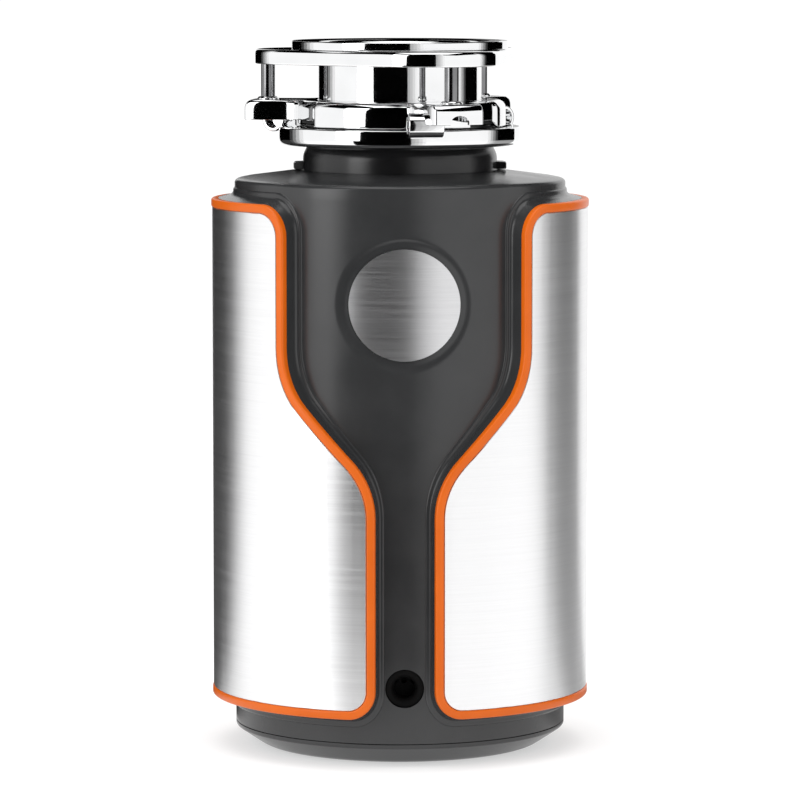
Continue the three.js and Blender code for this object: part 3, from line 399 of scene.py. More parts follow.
def tint(tree, value, dark, light, start=0.3, end=0.7):
    """Colour from dark to light as the value goes from start to end."""
    made = node(tree, "ShaderNodeValToRGB")
    made.color_ramp.elements[0].position = start
    made.color_ramp.elements[0].color = (*dark, 1)
    made.color_ramp.elements[1].position = end
    made.color_ramp.elements[1].color = (*light, 1)
    tree.links.new(value, made.inputs["Fac"])
    return made.outputs["Color"]


def bump(tree, shader, value, strength, distance):
    """Relief of this height in millimetres."""
    made = node(tree, "ShaderNodeBump")
    made.inputs["Strength"].default_value = strength
    made.inputs["Distance"].default_value = distance * MM
    tree.links.new(value, made.inputs["Height"])
    tree.links.new(made.outputs["Normal"], shader.inputs["Normal"])


def moulded(name, dark, light, rough=(0.34, 0.46), grain=0.35, grain_size=0.5, specular=0.5):
    """Moulded plastic or rubber: slight mottling, and a fine grain in the surface."""
    material, tree, shader = new_material(name)
    cloud = noise(tree, 45, 5)
    fine = noise(tree, 1 / (grain_size * MM), 3)
    tree.links.new(tint(tree, cloud, dark, light), shader.inputs["Base Color"])
    tree.links.new(remap(tree, cloud, *rough), shader.inputs["Roughness"])
    shader.inputs["Specular IOR Level"].default_value = specular
    bump(tree, shader, fine, grain, 0.05)
    return material


def polished(name, dark, light, rough=(0.03, 0.07)):
    """Plated and polished metal, with a faint unevenness under the shine."""
    material, tree, shader = new_material(name)
    cloud = noise(tree, 60, 4)
    haze = noise(tree, 900, 3)
    tree.links.new(tint(tree, cloud, dark, light), shader.inputs["Base Color"])
    tree.links.new(remap(tree, haze, *rough), shader.inputs["Roughness"])
    shader.inputs["Metallic"].default_value = 1.0
    bump(tree, shader, noise(tree, 120, 2), 0.02, 0.15)
    return material


def around_body(tree, along, across):
    """Coordinates that run round the body and up it, stretched along the brushing."""
    place = node(tree, "ShaderNodeTexCoord").outputs["Object"]
    split = node(tree, "ShaderNodeSeparateXYZ")
    tree.links.new(place, split.inputs[0])
    angle = node(tree, "ShaderNodeMath", operation="ARCTAN2")
    tree.links.new(split.outputs["X"], angle.inputs[0])
    turned_y = node(tree, "ShaderNodeMath", operation="MULTIPLY")
    turned_y.inputs[1].default_value = -1
    tree.links.new(split.outputs["Y"], turned_y.inputs[0])
    tree.links.new(turned_y.outputs[0], angle.inputs[1])
    round_body = node(tree, "ShaderNodeMath", operation="MULTIPLY")
    round_body.inputs[1].default_value = OUTLINE_R * MM * along
    tree.links.new(angle.outputs[0], round_body.inputs[0])
    up = node(tree, "ShaderNodeMath", operation="MULTIPLY")
    up.inputs[1].default_value = across
    tree.links.new(split.outputs["Z"], up.inputs[0])
    joined = node(tree, "ShaderNodeCombineXYZ")
    tree.links.new(round_body.outputs[0], joined.inputs["X"])
    tree.links.new(up.outputs[0], joined.inputs["Y"])
    return joined.outputs[0]


def brushed(name, dark, light, along, across, rough=(0.34, 0.42), turn=0.25, scratch=0.05):
    """Brushed stainless steel: fine scratches along the brushing, and a stretched highlight."""
    material, tree, shader = new_material(name)
    streaks = noise(tree, 1.0, 3, around_body(tree, along, across), 0.7)
    broad = noise(tree, 1.0, 2, around_body(tree, along * 0.35, across * 0.22), 0.5)
    mixed = node(tree, "ShaderNodeMath", operation="MULTIPLY_ADD")
    mixed.inputs[1].default_value = 0.6
    tree.links.new(streaks, mixed.inputs[0])
    part = node(tree, "ShaderNodeMath", operation="MULTIPLY")
    part.inputs[1].default_value = 0.4
    tree.links.new(broad, part.inputs[0])
    tree.links.new(part.outputs[0], mixed.inputs[2])
    grain = mixed.outputs[0]
    tree.links.new(tint(tree, grain, dark, light, 0.35, 0.65), shader.inputs["Base Color"])
    tree.links.new(remap(tree, grain, *rough, 0.35, 0.65), shader.inputs["Roughness"])
    shader.inputs["Metallic"].default_value = 1.0
    shader.inputs["Anisotropic"].default_value = 0.75
    shader.inputs["Anisotropic Rotation"].default_value = turn
    tangent = node(tree, "ShaderNodeTangent", direction_type="RADIAL", axis="Z")
    tree.links.new(tangent.outputs[0], shader.inputs["Tangent"])
    bump(tree, shader, streaks, scratch, 0.02)
    return material


def plain_metal(name, dark, light, rough=(0.3, 0.5), pits=0.3, pit_size=1.2):
    """Cast, turned or zinc-plated metal for working parts."""
    material, tree, shader = new_material(name)
    cloud = noise(tree, 70, 6)
    tree.links.new(tint(tree, cloud, dark, light), shader.inputs["Base Color"])
    tree.links.new(remap(tree, cloud, *rough), shader.inputs["Roughness"])
    shader.inputs["Metallic"].default_value = 1.0
    bump(tree, shader, noise(tree, 1 / (pit_size * MM), 4), pits, 0.08)
    return material


MATERIALS = {
    "dark_plastic": moulded(
        "dark_moulding", (0.026, 0.0265, 0.0275), (0.031, 0.0315, 0.0325),
        rough=(0.2, 0.26), grain=0.05, grain_size=0.45),
    "neck_plastic": moulded(
        "neck_moulding", (0.008, 0.008, 0.0085), (0.014, 0.014, 0.015),
        rough=(0.2, 0.28), grain=0.06, grain_size=0.6),
    "orange_trim": moulded(
        "orange_moulding", (0.60, 0.102, 0.0012), (0.66, 0.118, 0.002),
        rough=(0.28, 0.38), grain=0.06, grain_size=0.4, specular=0.3),
    "black_plastic": moulded(
        "black_moulding", (0.003, 0.003, 0.003), (0.006, 0.006, 0.006),
        rough=(0.4, 0.55), grain=0.2, grain_size=0.5, specular=0.25),
    # Near-black with little sheen: black rubber for the cord gland, darkened further as painted shade so
    # that the gland's bore reads black; the terminal block inside takes it too.
    "gland_rubber_and_bore_shade": moulded(
        "gland_rubber_and_bore_shade", (0.0012, 0.0012, 0.0012), (0.0025, 0.0025, 0.0025),
        rough=(0.6, 0.75), grain=0.3, grain_size=0.5, specular=0.12),
    "rubber": moulded(
        "black_rubber", (0.012, 0.012, 0.013), (0.02, 0.02, 0.021),
        rough=(0.55, 0.75), grain=0.4, grain_size=0.8, specular=0.3),
    "foam": moulded(
        "grey_foam", (0.05, 0.05, 0.055), (0.09, 0.09, 0.095),
        rough=(0.9, 1.0), grain=0.9, grain_size=1.5, specular=0.1),
    "fibre": moulded(
        "pressed_fibre", (0.2, 0.15, 0.09), (0.32, 0.25, 0.16),
        rough=(0.8, 0.95), grain=0.6, grain_size=0.9, specular=0.2),
    "red_plastic": moulded(
        "red_moulding", (0.5, 0.012, 0.01), (0.62, 0.02, 0.014),
        rough=(0.25, 0.35), grain=0.15, grain_size=0.5),
    "chrome": polished("chrome_plate", (0.86, 0.865, 0.87), (0.91, 0.915, 0.92)),
    "screw_plate": polished("screw_plating", (0.2, 0.2, 0.205), (0.28, 0.28, 0.285), rough=(0.1, 0.18)),
    "brushed_panel": brushed(
        "steel_brushed_round", (0.9, 0.9, 0.905), (0.98, 0.98, 0.985), along=18, across=1500),
    "brushed_badge": brushed(
        "badge_brushed_round", (0.7, 0.7, 0.71), (0.8, 0.8, 0.81), along=30, across=1900),
    "steel": plain_metal(
        "zinc_plate", (0.45, 0.46, 0.47), (0.62, 0.63, 0.64),
        rough=(0.25, 0.4), pits=0.1, pit_size=0.6),
    "cast_iron": plain_metal(
        "grey_casting", (0.12, 0.12, 0.125), (0.2, 0.2, 0.205),
        rough=(0.5, 0.7), pits=0.5, pit_size=1.4),
    "copper": plain_metal(
        "lacquered_copper", (0.5, 0.19, 0.06), (0.66, 0.27, 0.1),
        rough=(0.3, 0.45), pits=0.7, pit_size=0.9),
    "aluminium": plain_metal(
        "cast_aluminium", (0.45, 0.45, 0.46), (0.6, 0.6, 0.61),
        rough=(0.35, 0.55), pits=0.3, pit_size=1.0),
    "green_screw": plain_metal(
        "green_plate", (0.02, 0.22, 0.06), (0.04, 0.34, 0.1),
        rough=(0.3, 0.45), pits=0.1, pit_size=0.6),
}


def dress(piece, look):
    """Gives a piece one material."""
    piece.data.materials.clear()
    piece.data.materials.append(MATERIALS[look])
    return piece


def stand_for(piece, body, look, slot, *nodes):
    """Gives piece its material, sets it on its body and hides the CAD nodes that it stands for."""
    dress(piece, look)
    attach(piece, body)
    if nodes:
        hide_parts(*nodes)
    return piece


# ---------------------------------------------------------------- outer body
def fine_angles():
    """Angles round the body from the front, close together near the badge."""
    step_near, near, step_far = 0.6, 27.0, 3.0
    angles = [-near + step_near * i for i in range(int(2 * near / step_near))]
    count = round((360 - 2 * near) / step_far)
    return angles + [near + (360 - 2 * near) * i / count for i in range(count)]


def recess_depth(x, z):
    """Depth of the dish round the badge: a soft outer lip, then flat."""
    lip, spill = 4.2, 1.2
    distance = math.hypot(x, z - BADGE_Z)
    return RECESS_DEPTH * soft_step((RECESS_R + spill - distance) / lip)


def core_radius(angle, z):
    """Radius of the casing's outside, with the dish on its front."""
    x = CORE_R * math.sin(math.radians(angle))
    front = math.cos(math.radians(angle)) > 0
    return CORE_R - (recess_depth(x, z) if front else 0)


def shell_core():
    """The dark casing: outside with the badge's dish, rolled shoulder, and a plain inside."""
    rise = CORE_TOP - CORE_EDGE
    near = RECESS_R + 4
    rows_near = 110
    heights = [CORE_FOOT, CORE_FOOT + 0.15, 60, 120, 180, BADGE_Z - near]
    heights += [BADGE_Z - near + 2 * near * (i + 1) / rows_near for i in range(rows_near)]
    heights += [CORE_EDGE - 8, CORE_EDGE - 2.2]
    shoulder = [
        (CORE_R - 0.15, CORE_EDGE - 1.5),
        (CORE_R - 0.6, CORE_EDGE - 0.8),
        (CORE_R - 1.3, CORE_EDGE - 0.35),
        (CORE_R - 2.2, CORE_EDGE - 0.05),
        (CORE_R - 5, CORE_EDGE + 0.5),
        (NECK_HOLE_R + 5, CORE_EDGE + rise * 0.92),
        (NECK_HOLE_R + 1.5, CORE_TOP - 0.05),
        (NECK_HOLE_R, CORE_TOP - 0.6),
        (NECK_HOLE_R, CORE_TOP - CORE_WALL),
    ]
    inner = [
        (CORE_R - CORE_WALL, CORE_EDGE - CORE_WALL),
        (CORE_R - CORE_WALL, CORE_FOOT + 0.5),
        (CORE_R - CORE_WALL, CORE_FOOT),
    ]
    rows = []
    for angle in fine_angles():
        outside = [(core_radius(angle, z), z) for z in heights]
        outside[0] = (CORE_R - 0.12, CORE_FOOT)
        rows.append([on_body(angle, r, z, 1) for r, z in outside + shoulder + inner])
    core = Shape().grid(rows, close_rows=True, close_columns=True).build("casing", 28)
    deep, far = 70, 100
    inlet_place = spin(INLET_ANGLE) @ along_back(0, INLET_Z)
    cut_out(core, [
        rod_cutter("cord_cut", CORD_R + 0.2, -CORE_R - 6, -CORE_R + 8, along_back(0, CORD_Z)),
        rod_cutter("outlet_cut", OUTLET_BOSS_R + 0.3, deep, far, along_back(0, OUTLET_Z)),
        rod_cutter("inlet_cut", INLET_R + 0.3, deep, far, inlet_place),
        rod_cutter("screw_cut_1", 2.9, deep, far, along_back(OUTLET_SCREW_X, OUTLET_Z), 24),
        rod_cutter("screw_cut_2", 2.9, deep, far, along_back(-OUTLET_SCREW_X, OUTLET_Z), 24),
    ])
    return core


def side_word(side):
    """Name of the side: 1 is right, -1 is left."""
    return "right" if side > 0 else "left"


def pad(side):
    """Raised pad under one side panel: a bead at its foot, a fillet, the side wall and the top."""
    top = TRIM_BACK - 0.05
    span = top - CORE_R

    def rise(radius):
        return LEDGE_RISE * max(0, min(1, (top - radius) / span))

    section = [
        (-3.9, CORE_R - 0.6),
        (-3.7, CORE_R + 0.1),
        (-3.3, CORE_R + 0.6),
        (-2.6, CORE_R + 0.85),
        (-1.9, CORE_R + 0.8),
        (-1.3, CORE_R + 0.95),
        (-0.7, CORE_R + 1.5),
        (-0.35, CORE_R + 2.3),
        (-0.15, CORE_R + 3.4),
        (0.0, top),
        (TRIM_WIDTH + 3, top),
    ]
    shape = Shape()
    ring_wall(shape, [(inset, r, rise(r)) for inset, r in section], side)
    return shape.build("casing_pad_" + side_word(side), 40)


def trim(side):
    """Orange frame round a steel panel, with rounded edges."""
    front = TRIM_R - 0.03
    section = [
        (0.05, TRIM_BACK),
        (0.0, TRIM_BACK + 0.4),
        (0.0, front - 1.3),
        (0.12, front - 0.7),
        (0.42, front - 0.28),
        (0.95, front),
        (TRIM_WIDTH - 0.9, front),
        (TRIM_WIDTH - 0.4, front - 0.12),
        (TRIM_WIDTH - 0.12, front - 0.4),
        (TRIM_WIDTH, front - 0.8),
        (TRIM_WIDTH, TRIM_BACK),
    ]
    shape = Shape()
    ring_wall(shape, [(inset, r, 0) for inset, r in section + section[:1]], side)
    return shape.build("trim_frame_" + side_word(side), 40)


def steel_panel(side):
    """Steel sheet inside the orange frame, with a small bevel along its edge."""
    edge = TRIM_WIDTH + 0.15
    bevel = 0.3
    rim = [(edge, PANEL_R - 1.1, 0), (edge, PANEL_R - bevel, 0), (edge + bevel, PANEL_R, 0)]
    shape = Shape()
    ring_wall(shape, rim, side)
    curved_sheet(shape, edge + bevel, PANEL_R, side)
    return shape.build("steel_side_" + side_word(side), 20)


def badge():
    """Round badge that follows the casing: rings of points from the middle out, then its edge."""
    face, thick = CORE_R + 0.15, 1.1
    ring_count, points = 14, 120
    rings = [(0.001, face)]
    rings += [(BADGE_R * 0.96 * i / ring_count, face) for i in range(1, ring_count + 1)]
    rings += [(BADGE_R, face), (BADGE_R, face - thick)]
    rows = []
    for radius, depth in rings:
        row = []
        for k in range(points):
            a = TURN * k / points
            x, z = radius * math.cos(a), BADGE_Z + radius * math.sin(a)
            row.append((x, -math.sqrt(depth ** 2 - x ** 2), z))
        rows.append(row)
    return Shape().grid(rows, close_columns=True).build("badge_plate", 30, 0.01)


def under(node):
    """Place on the base plane below the middle of a CAD node."""
    low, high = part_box(node)
    return Matrix.Translation(((low.x + high.x) / 2 / MM, (low.y + high.y) / 2 / MM, 0))


def base_cover():
    """Dished bottom cover with its wrench hole, three countersunk screw holes and the button's hole."""
    dish = rounded([
        (SOCKET_HOLE_R, 0, 0.6),
        (BASE_FLAT_R, 0, 4),
        (CORE_R, BASE_CHAMFER, 3),
        (CORE_R, CORE_FOOT - 0.3, 0.15),
        (CORE_R - CORE_WALL, CORE_FOOT - 0.3),
        (CORE_R - CORE_WALL, BASE_CHAMFER + 1.2),
        (BASE_FLAT_R - 1, 3),
        (SOCKET_HOLE_R, 3),
    ], 6)
    cover = Shape().turned(dish, 200).build("base_cover", 30)
    cutters = []
    for i in range(3):
        place = under(f"cover_screw_{i + 1}")
        cutters.append(rod_cutter(f"screw_hole_{i}", 2.6, -1, 5, place, 24))
        cutters.append(rod_cutter(f"screw_sink_{i}", 4.6, -1, 1.8, place, 32))
    cutters.append(rod_cutter("button_hole", 4.5, -1, 5, under("reset_button"), 32))
    cut_out(cover, cutters)
    return cover


def gland():
    """Black cord gland: a funnel mouth set back in the casing's front hole."""
    face, bore = -CORE_R + 1.2, 5.5
    collar, end = face + 5, face + 7.5
    loop = rounded([
        (bore, face + 2.5, 1.2),
        (7.2, face + 0.3, 1.0),
        (CORD_R, face, 0.6),
        (CORD_R, collar),
        (CORD_R + 2, collar),
        (CORD_R + 2, end),
        (bore, end),
    ])
    return Shape().turned(loop, 64, along_back(0, CORD_Z)).build("cord_gland_ring")


# ---------------------------------------------------------------- sink mount
def sink_flange():
    """Throat tube with the snap ring's groove, and the flat lip that lies in the sink."""
    inner = TUBE_R - 2
    groove_z0, groove_z1, groove_r = 336.8, 339.7, TUBE_R - 0.9
    lip_foot, lip_step, step_r = 373.1, LIP_TOP - 4.4, LIP_R - 3
    loop = rounded([
        (inner, TUBE_Z0, 0.5),
        (TUBE_R, TUBE_Z0, 0.5),
        (TUBE_R, groove_z0),
        (groove_r, groove_z0),
        (groove_r, groove_z1),
        (TUBE_R, groove_z1),
        (TUBE_R, lip_foot, 1.2),
        (step_r, lip_foot, 0.4),
        (step_r, lip_step, 0.3),
        (LIP_R, lip_step, 0.4),
        (LIP_R, LIP_TOP - 0.5, 0.2),
        (LIP_R - 0.3, LIP_TOP, 0.3),
        (LIP_R - 7, LIP_TOP, 3),
        (TUBE_R + 0.9, LIP_TOP - 0.6, 1.2),
        (inner + 0.7, LIP_TOP - 1.9, 1.0),
        (inner, LIP_TOP - 4.3, 1.5),
    ], 5)
    return Shape().turned(loop, 192).build("flange_sink", 30)


def backup_reach(degrees, shrink):
    """Distance from the axis to a triangle with three large round corners."""
    third = 120
    turn = (degrees - SCREW_ANGLES[0]) % third
    turn = turn - third if turn > third / 2 else turn
    radius = BACKUP_CORNER_R - shrink
    half = math.radians(60)
    meet = math.atan2(radius * math.sin(half), BACKUP_CENTRE + radius * math.cos(half))
    across = abs(math.radians(turn))
    if across < meet:
        offset = BACKUP_CENTRE * math.sin(across)
        return BACKUP_CENTRE * math.cos(across) + math.sqrt(radius ** 2 - offset ** 2)
    return (BACKUP_CENTRE / 2 + radius) / math.cos(half - across)


def backup_flange():
    """Dished three-cornered plate that the mounting screws push up against the sink."""
    bore = TUBE_R + 0.5
    sheet = 2.2

    def section(degrees):
        def reach(shrink):
            return backup_reach(degrees, shrink)
        return rounded([
            (bore, BACKUP_Z1 - sheet, 0.5),
            (reach(sheet), BACKUP_Z1 - sheet, 1.0),
            (reach(sheet), BACKUP_Z0, 0.6),
            (reach(0), BACKUP_Z0, 0.8),
            (reach(0), BACKUP_Z1, 2.4),
            (bore, BACKUP_Z1, 0.6),
        ], 5)
    return Shape().sweep(section, 240).build("flange_backup", 30)


def mounting_screw(number):
    """Plain screw shank with a rounded tip."""
    angle = math.radians(SCREW_ANGLES[number])
    place = Matrix.Translation((SCREW_CIRCLE * math.cos(angle), SCREW_CIRCLE * math.sin(angle), 0))
    bottom = lowest(f"mounting_screw_{number + 1}", Z)
    top = highest(f"mounting_screw_{number + 1}", Z)
    loop = rounded([
        (0, bottom),
        (SCREW_R, bottom, 0.5),
        (SCREW_R, top - 1.6, 0.8),
        (SCREW_R - 1.4, top, 0.6),
        (0, top),
    ])
    return Shape().turned(loop, 48, place).build(f"clamp_screw_{number + 1}")


def turn_between(first, second):
    """Angle between two directions, 0 to 180 degrees."""
    return abs((first - second + 180) % 360 - 180)


def sector_blend(degrees):
    """1 on the upper ring's three plain sectors, 0 between them, with a soft step."""
    half, step = 32, 4.5
    ends = min(turn_between(degrees, middle) for middle in SECTOR_ANGLES)
    return soft_step((half - ends) / step)


def lobe_reach(degrees):
    """Outer radius of the upper ring: a round cup with a pressed, nearly square lobe round each screw."""
    half_width, corner, inner_corner = 15.5, 18.0, 16.0
    body = UPPER_SKIRT_R - 1.8 * (1 - sector_blend(degrees))
    nearest = min(turn_between(degrees, angle) for angle in SCREW_ANGLES)
    flank = half_width / math.sin(math.radians(max(nearest, 1)))
    near = max(corner - abs(LOBE_REACH - flank), 0) / corner
    lobe = min(LOBE_REACH, flank) - near ** 2 * corner / 4
    near = max(inner_corner - abs(lobe - body), 0) / inner_corner
    reach = max(lobe, body) + near ** 2 * inner_corner / 4
    return reach, (reach - body) / (LOBE_REACH - body)


def lobe_angles():
    """Stations round the upper ring, close together on the lobes' flanks."""
    first, step, count = 7, 0.25, 50
    stations = set(range(360))
    for angle in SCREW_ANGLES:
        for side in (-1, 1):
            stations |= {round((angle + side * (first + step * k)) % 360, 3) for k in range(count)}
    return sorted(stations)


def skirt_foot(degrees, bulge):
    """Height of the skirt's lower edge: low on the three plain sectors, higher elsewhere."""
    low, high = UPPER_SKIRT_Z0, LOBE_Z0 + 0.3
    sector = high + (low - high) * sector_blend(degrees)
    return sector + (LOBE_Z0 - sector) * min(max(bulge, 0) * 5, 1)


def upper_cup():
    """The upper ring's pressed sheet: flat top, rolled corner and skirt, lobes with arched windows."""
    sheet, corner = 2.2, 5.2
    bore = TUBE_R + 0.5
    under_side = UPPER_Z - 3

    def section(degrees):
        reach, bulge = lobe_reach(degrees)
        foot = skirt_foot(degrees, bulge)
        return rounded([
            (bore, under_side, 0.4),
            (reach - sheet, under_side, corner - 2.2),
            (reach - sheet, foot, 0.5),
            (reach, foot, 0.6),
            (reach, UPPER_Z, corner),
            (bore, UPPER_Z, 0.5),
        ], 8)
    cup = Shape().sweep(section, angles=lobe_angles()).build("ring_upper", 30)
    cut_out(cup, [
        arch_cutter(f"lobe_arch_{k}", angle, LOBE_REACH - 6, LOBE_REACH + 4)
        for k, angle in enumerate(SCREW_ANGLES)
    ])
    return cup


def upper_skirt():
    """Inner stretches of the skirt, which close the cup behind each lobe."""
    half = 19
    inner, outer, top = UPPER_SKIRT_R - 2.5, UPPER_SKIRT_R - 0.4, UPPER_Z - 3.5
    foot = UPPER_SKIRT_Z0
    skirt = rounded([(inner, top), (inner, foot, 0.5), (outer, foot, 0.5), (outer, top)])
    shape = Shape()
    for angle in SCREW_ANGLES:
        shape.sweep(lambda degrees: skirt, 32, angle - half, angle + half)
    return shape.build("ring_upper_skirt", 30)


def upper_collars():
    """Plain collars round the screws, on top of the lobes."""
    bore, foot, crown = SCREW_R + 0.25, UPPER_Z - 2, UPPER_Z + 1.4
    shape = Shape()
    for angle in SCREW_ANGLES:
        place = spin(angle) @ Matrix.Translation((SCREW_CIRCLE, 0, 0))
        shape.turned(rounded([
            (bore, foot),
            (SCREW_R + 2.0, foot),
            (SCREW_R + 2.0, UPPER_Z + 0.5, 0.6),
            (SCREW_R + 1.1, crown, 0.5),
            (bore, crown, 0.2),
        ]), 40, place)
    return shape.build("ring_upper_collars", 30)


def arch_cutter(name, angle, near, far):
    """Round-topped window through a wall that lies between two distances from the axis."""
    half, foot, top, steps = 5.2, UPPER_SKIRT_Z0 - 2, 338.2, 12
    rise = half * 0.75
    turns = [math.pi * k / steps for k in range(steps + 1)]
    outline = [(-half, foot), (half, foot)]
    outline += [(half * math.cos(a), top - rise + rise * math.sin(a)) for a in turns]
    place = spin(angle)
    rows = [[place @ Vector((x, y, z)) for y, z in outline] for x in (near, far)]
    cutter = Shape().grid(rows, close_columns=True)
    for row in rows:
        cutter.add(row, [list(range(len(row)))])
    return cutter.build(name)


def lower_ring():
    """Lower lock ring: a rolled band with three barrels, hollow at their ends, on short webs."""
    inner = NECK_R + 0.5
    ring = rounded([
        (inner, LOWER_Z0, 0.4),
        (LOWER_R, LOWER_Z0, 3.8),
        (LOWER_R, LOWER_Z1, 0.9),
        (inner, LOWER_Z1, 0.4),
    ], 8)
    shape = Shape()
    shape.turned(ring, 240)
    bore = BARREL_R - 1.9
    blind = BARREL_HALF - 5
    barrel = rounded([
        (0.0, -blind),
        (bore, -blind),
        (bore, -BARREL_HALF, 0.4),
        (BARREL_R, -BARREL_HALF, 0.8),
        (BARREL_R, BARREL_HALF, 0.8),
        (bore, BARREL_HALF, 0.4),
        (bore, blind),
        (0.0, blind),
    ])
    web_half = 7.4
    web_low = (LOWER_R - 5, -web_half, LOWER_Z1 - 4)
    web_high = (BARREL_CIRCLE - 1.5, web_half, LOWER_Z1 - 0.6)
    for angle in BARREL_ANGLES:
        place = spin(angle)
        centre = place @ Matrix.Translation((BARREL_CIRCLE, 0, 0))
        shape.turned(barrel, 64, centre @ spin(BARREL_TWIST) @ along_back(0, BARREL_Z))
        shape.block(web_low, web_high, place)
    return shape.build("ring_lower", 32)


def neck():
    """The grinding chamber with its neck and two lugs: only the neck shows, under the rings."""
    wall, foot = 2, 206.3
    outer, inner = CHAMBER_R, CHAMBER_R - wall
    bore, upper_r = NECK_R - 3, NECK_R - 1.6
    bead_r, rim = NECK_R + 0.6, 331.5
    loop = rounded([
        (80, foot), (80, foot + 2.7), (outer, foot + 2.7),
        (outer, 276, 6), (outer - 5.8, 288, 8), (outer - 17.8, 296.5, 6),
        (NECK_R - 0.4, 300.4, 1), (bead_r, 306, 1), (bead_r, 315, 3),
        (upper_r, 319.2, 2.5), (upper_r, 321), (upper_r, rim - 1.3),
        (FLANGE_R, rim - 1.3), (FLANGE_R, rim, 0.5), (bore, rim),
        (bore, 299, 2), (inner - 17.8, 294.5, 6), (inner - 5.8, 286.5, 6),
        (inner, 275, 5), (inner, foot),
    ], 5)
    shape = Shape().turned(loop, 180)
    lug_inner, lug_r, lug_turn = 48.6, 56.7, 16
    lug = rounded([(lug_inner, 307.4), (lug_r, 307.4, 0.6), (lug_r, 311, 1.0), (lug_inner, 311.3)])
    for middle in (0, 180):
        start = middle - lug_turn / 2
        shape.sweep(lambda degrees: lug, 10, start, start + lug_turn)
    return shape.build("chamber_neck", 30)


def dishwasher_inlet():
    """Short pipe at the back of the chamber for a dishwasher's drain hose."""
    near, end, bore = 77.4, 97, INLET_R - 2
    pipe = rounded([(bore, near), (INLET_R, near), (INLET_R, end, 0.6), (bore, end, 0.4)])
    place = spin(INLET_ANGLE) @ along_back(0, INLET_Z)
    return Shape().turned(pipe, 64, place).build("dishwasher_inlet")


def splash_guard():
    """Rubber guard: sealing rim on the neck and a shallow cone slit into flaps."""
    rim, top = 331.8, 333.7
    outer, inner = 47.6, 43.5
    loop = rounded([
        (5, 318, 0.5), (7, 316.4, 0.5), (45.5, 322, 2), (outer, 325, 1), (outer, rim),
        (FLANGE_R, rim, 0.4), (FLANGE_R, top, 0.5), (inner, top, 0.8), (inner, 325.2, 3),
    ], 5)
    guard = Shape().turned(loop, 128).build("rubber_guard")
    reach, half = 36, 0.55
    slits = []
    for k in range(4):
        # A hair off the mesh's own corners, so that the cut is clean.
        place = spin(k * 45 + 0.01)
        slits.append(Shape().block((-reach, -half, 310), (reach, half, 330), place).build(f"slit_{k}"))
    cut_out(guard, slits)
    return guard


# ---------------------------------------------------------------- drain fittings
def outlet_pipe():
    """The outlet spigot with the collar that its clamp plate holds."""
    collar = CORE_R + 3.1
    collar_end = collar + 2.2
    end = highest("outlet_spigot", Y)
    bore, pipe_r = OUTLET_BORE_R - 1, OUTLET_BORE_R + 2
    pipe = rounded([
        (bore, collar, 0.3), (OUTLET_BOSS_R, collar, 0.3), (OUTLET_BOSS_R, collar_end, 0.5),
        (pipe_r, collar_end, 0.8), (pipe_r, end, 0.7), (bore, end, 0.5),
    ])
    return Shape().turned(pipe, 96, along_back(0, OUTLET_Z)).build("outlet_pipe")


def outlet_plate():
    """Clamp plate: a ring with two ears for its screws."""
    near, far = CORE_R + 5.6, CORE_R + 7.8
    bore, ring_r, ear_length = OUTLET_BORE_R + 2.3, 24, 14
    place = along_back(0, OUTLET_Z)

    def section(degrees):
        reach = ring_r + ear_length * abs(math.cos(math.radians(degrees))) ** 6
        return rounded([(bore, near, 0.3), (reach, near, 0.4), (reach, far, 0.7), (bore, far, 0.7)])
    plate = Shape().sweep(section, 160, matrix=place).build("outlet_plate")
    cut_out(plate, [
        rod_cutter(f"plate_hole_{s}", 2.7, 85, 105, along_back(s * OUTLET_SCREW_X, OUTLET_Z), 24)
        for s in (1, -1)
    ])
    return plate


# ---------------------------------------------------------------- put together
stand_for(shell_core(), "housing", "dark_plastic", "dark_plastic", "outer_shell")
for side in (1, -1):
    word = side_word(side)
    stand_for(pad(side), "housing", "dark_plastic", "dark_plastic")
    stand_for(trim(side), "housing", "orange_trim", "orange_trim", "trim_" + word)
    stand_for(steel_panel(side), "housing", "brushed_panel", "brushed_panel", "side_panel_" + word)
stand_for(badge(), "housing", "brushed_badge", "brushed_badge", "front_badge")
stand_for(base_cover(), "housing", "dark_plastic", "dark_plastic", "bottom_cover")
stand_for(gland(), "housing", "gland_rubber_and_bore_shade", "black_plastic", "cord_gland")

stand_for(sink_flange(), "housing", "chrome", "chrome", "sink_flange")
stand_for(backup_flange(), "clamp", "chrome", "chrome", "backup_flange")
for number in range(3):
    shank = mounting_screw(number)
    stand_for(shank, f"screw_{number + 1}", "screw_plate", "chrome", f"mounting_screw_{number + 1}")
stand_for(upper_cup(), "housing", "chrome", "chrome", "upper_mounting_ring")
stand_for(upper_skirt(), "housing", "chrome", "chrome")
stand_for(upper_collars(), "housing", "chrome", "chrome")
stand_for(lower_ring(), "lock_ring", "chrome", "chrome", "lower_mounting_ring")
stand_for(neck(), "housing", "neck_plastic", "black_plastic", "grind_chamber")
stand_for(dishwasher_inlet(), "housing", "neck_plastic", "black_plastic")
stand_for(splash_guard(), "housing", "rubber", "rubber", "splash_baffle")
stand_for(outlet_pipe(), "housing", "black_plastic", "black_plastic", "outlet_spigot")
stand_for(outlet_plate(), "housing", "steel", "steel", "outlet_clamp")

# The working parts inside keep their CAD shape and take the look of their material slot.
for row in frame["record"]["subparts"]:
    piece = frame["nodes"][row["node"]]
    if not piece.hide_render:
        dress(piece, row["material_slot"])
        smooth(piece, 30)

# The terminal block shows through the gland's bore, so it takes the gland's near-black material: painted
# shade, so that the bore reads black.
dress(frame["nodes"]["terminal_block"], "gland_rubber_and_bore_shade")


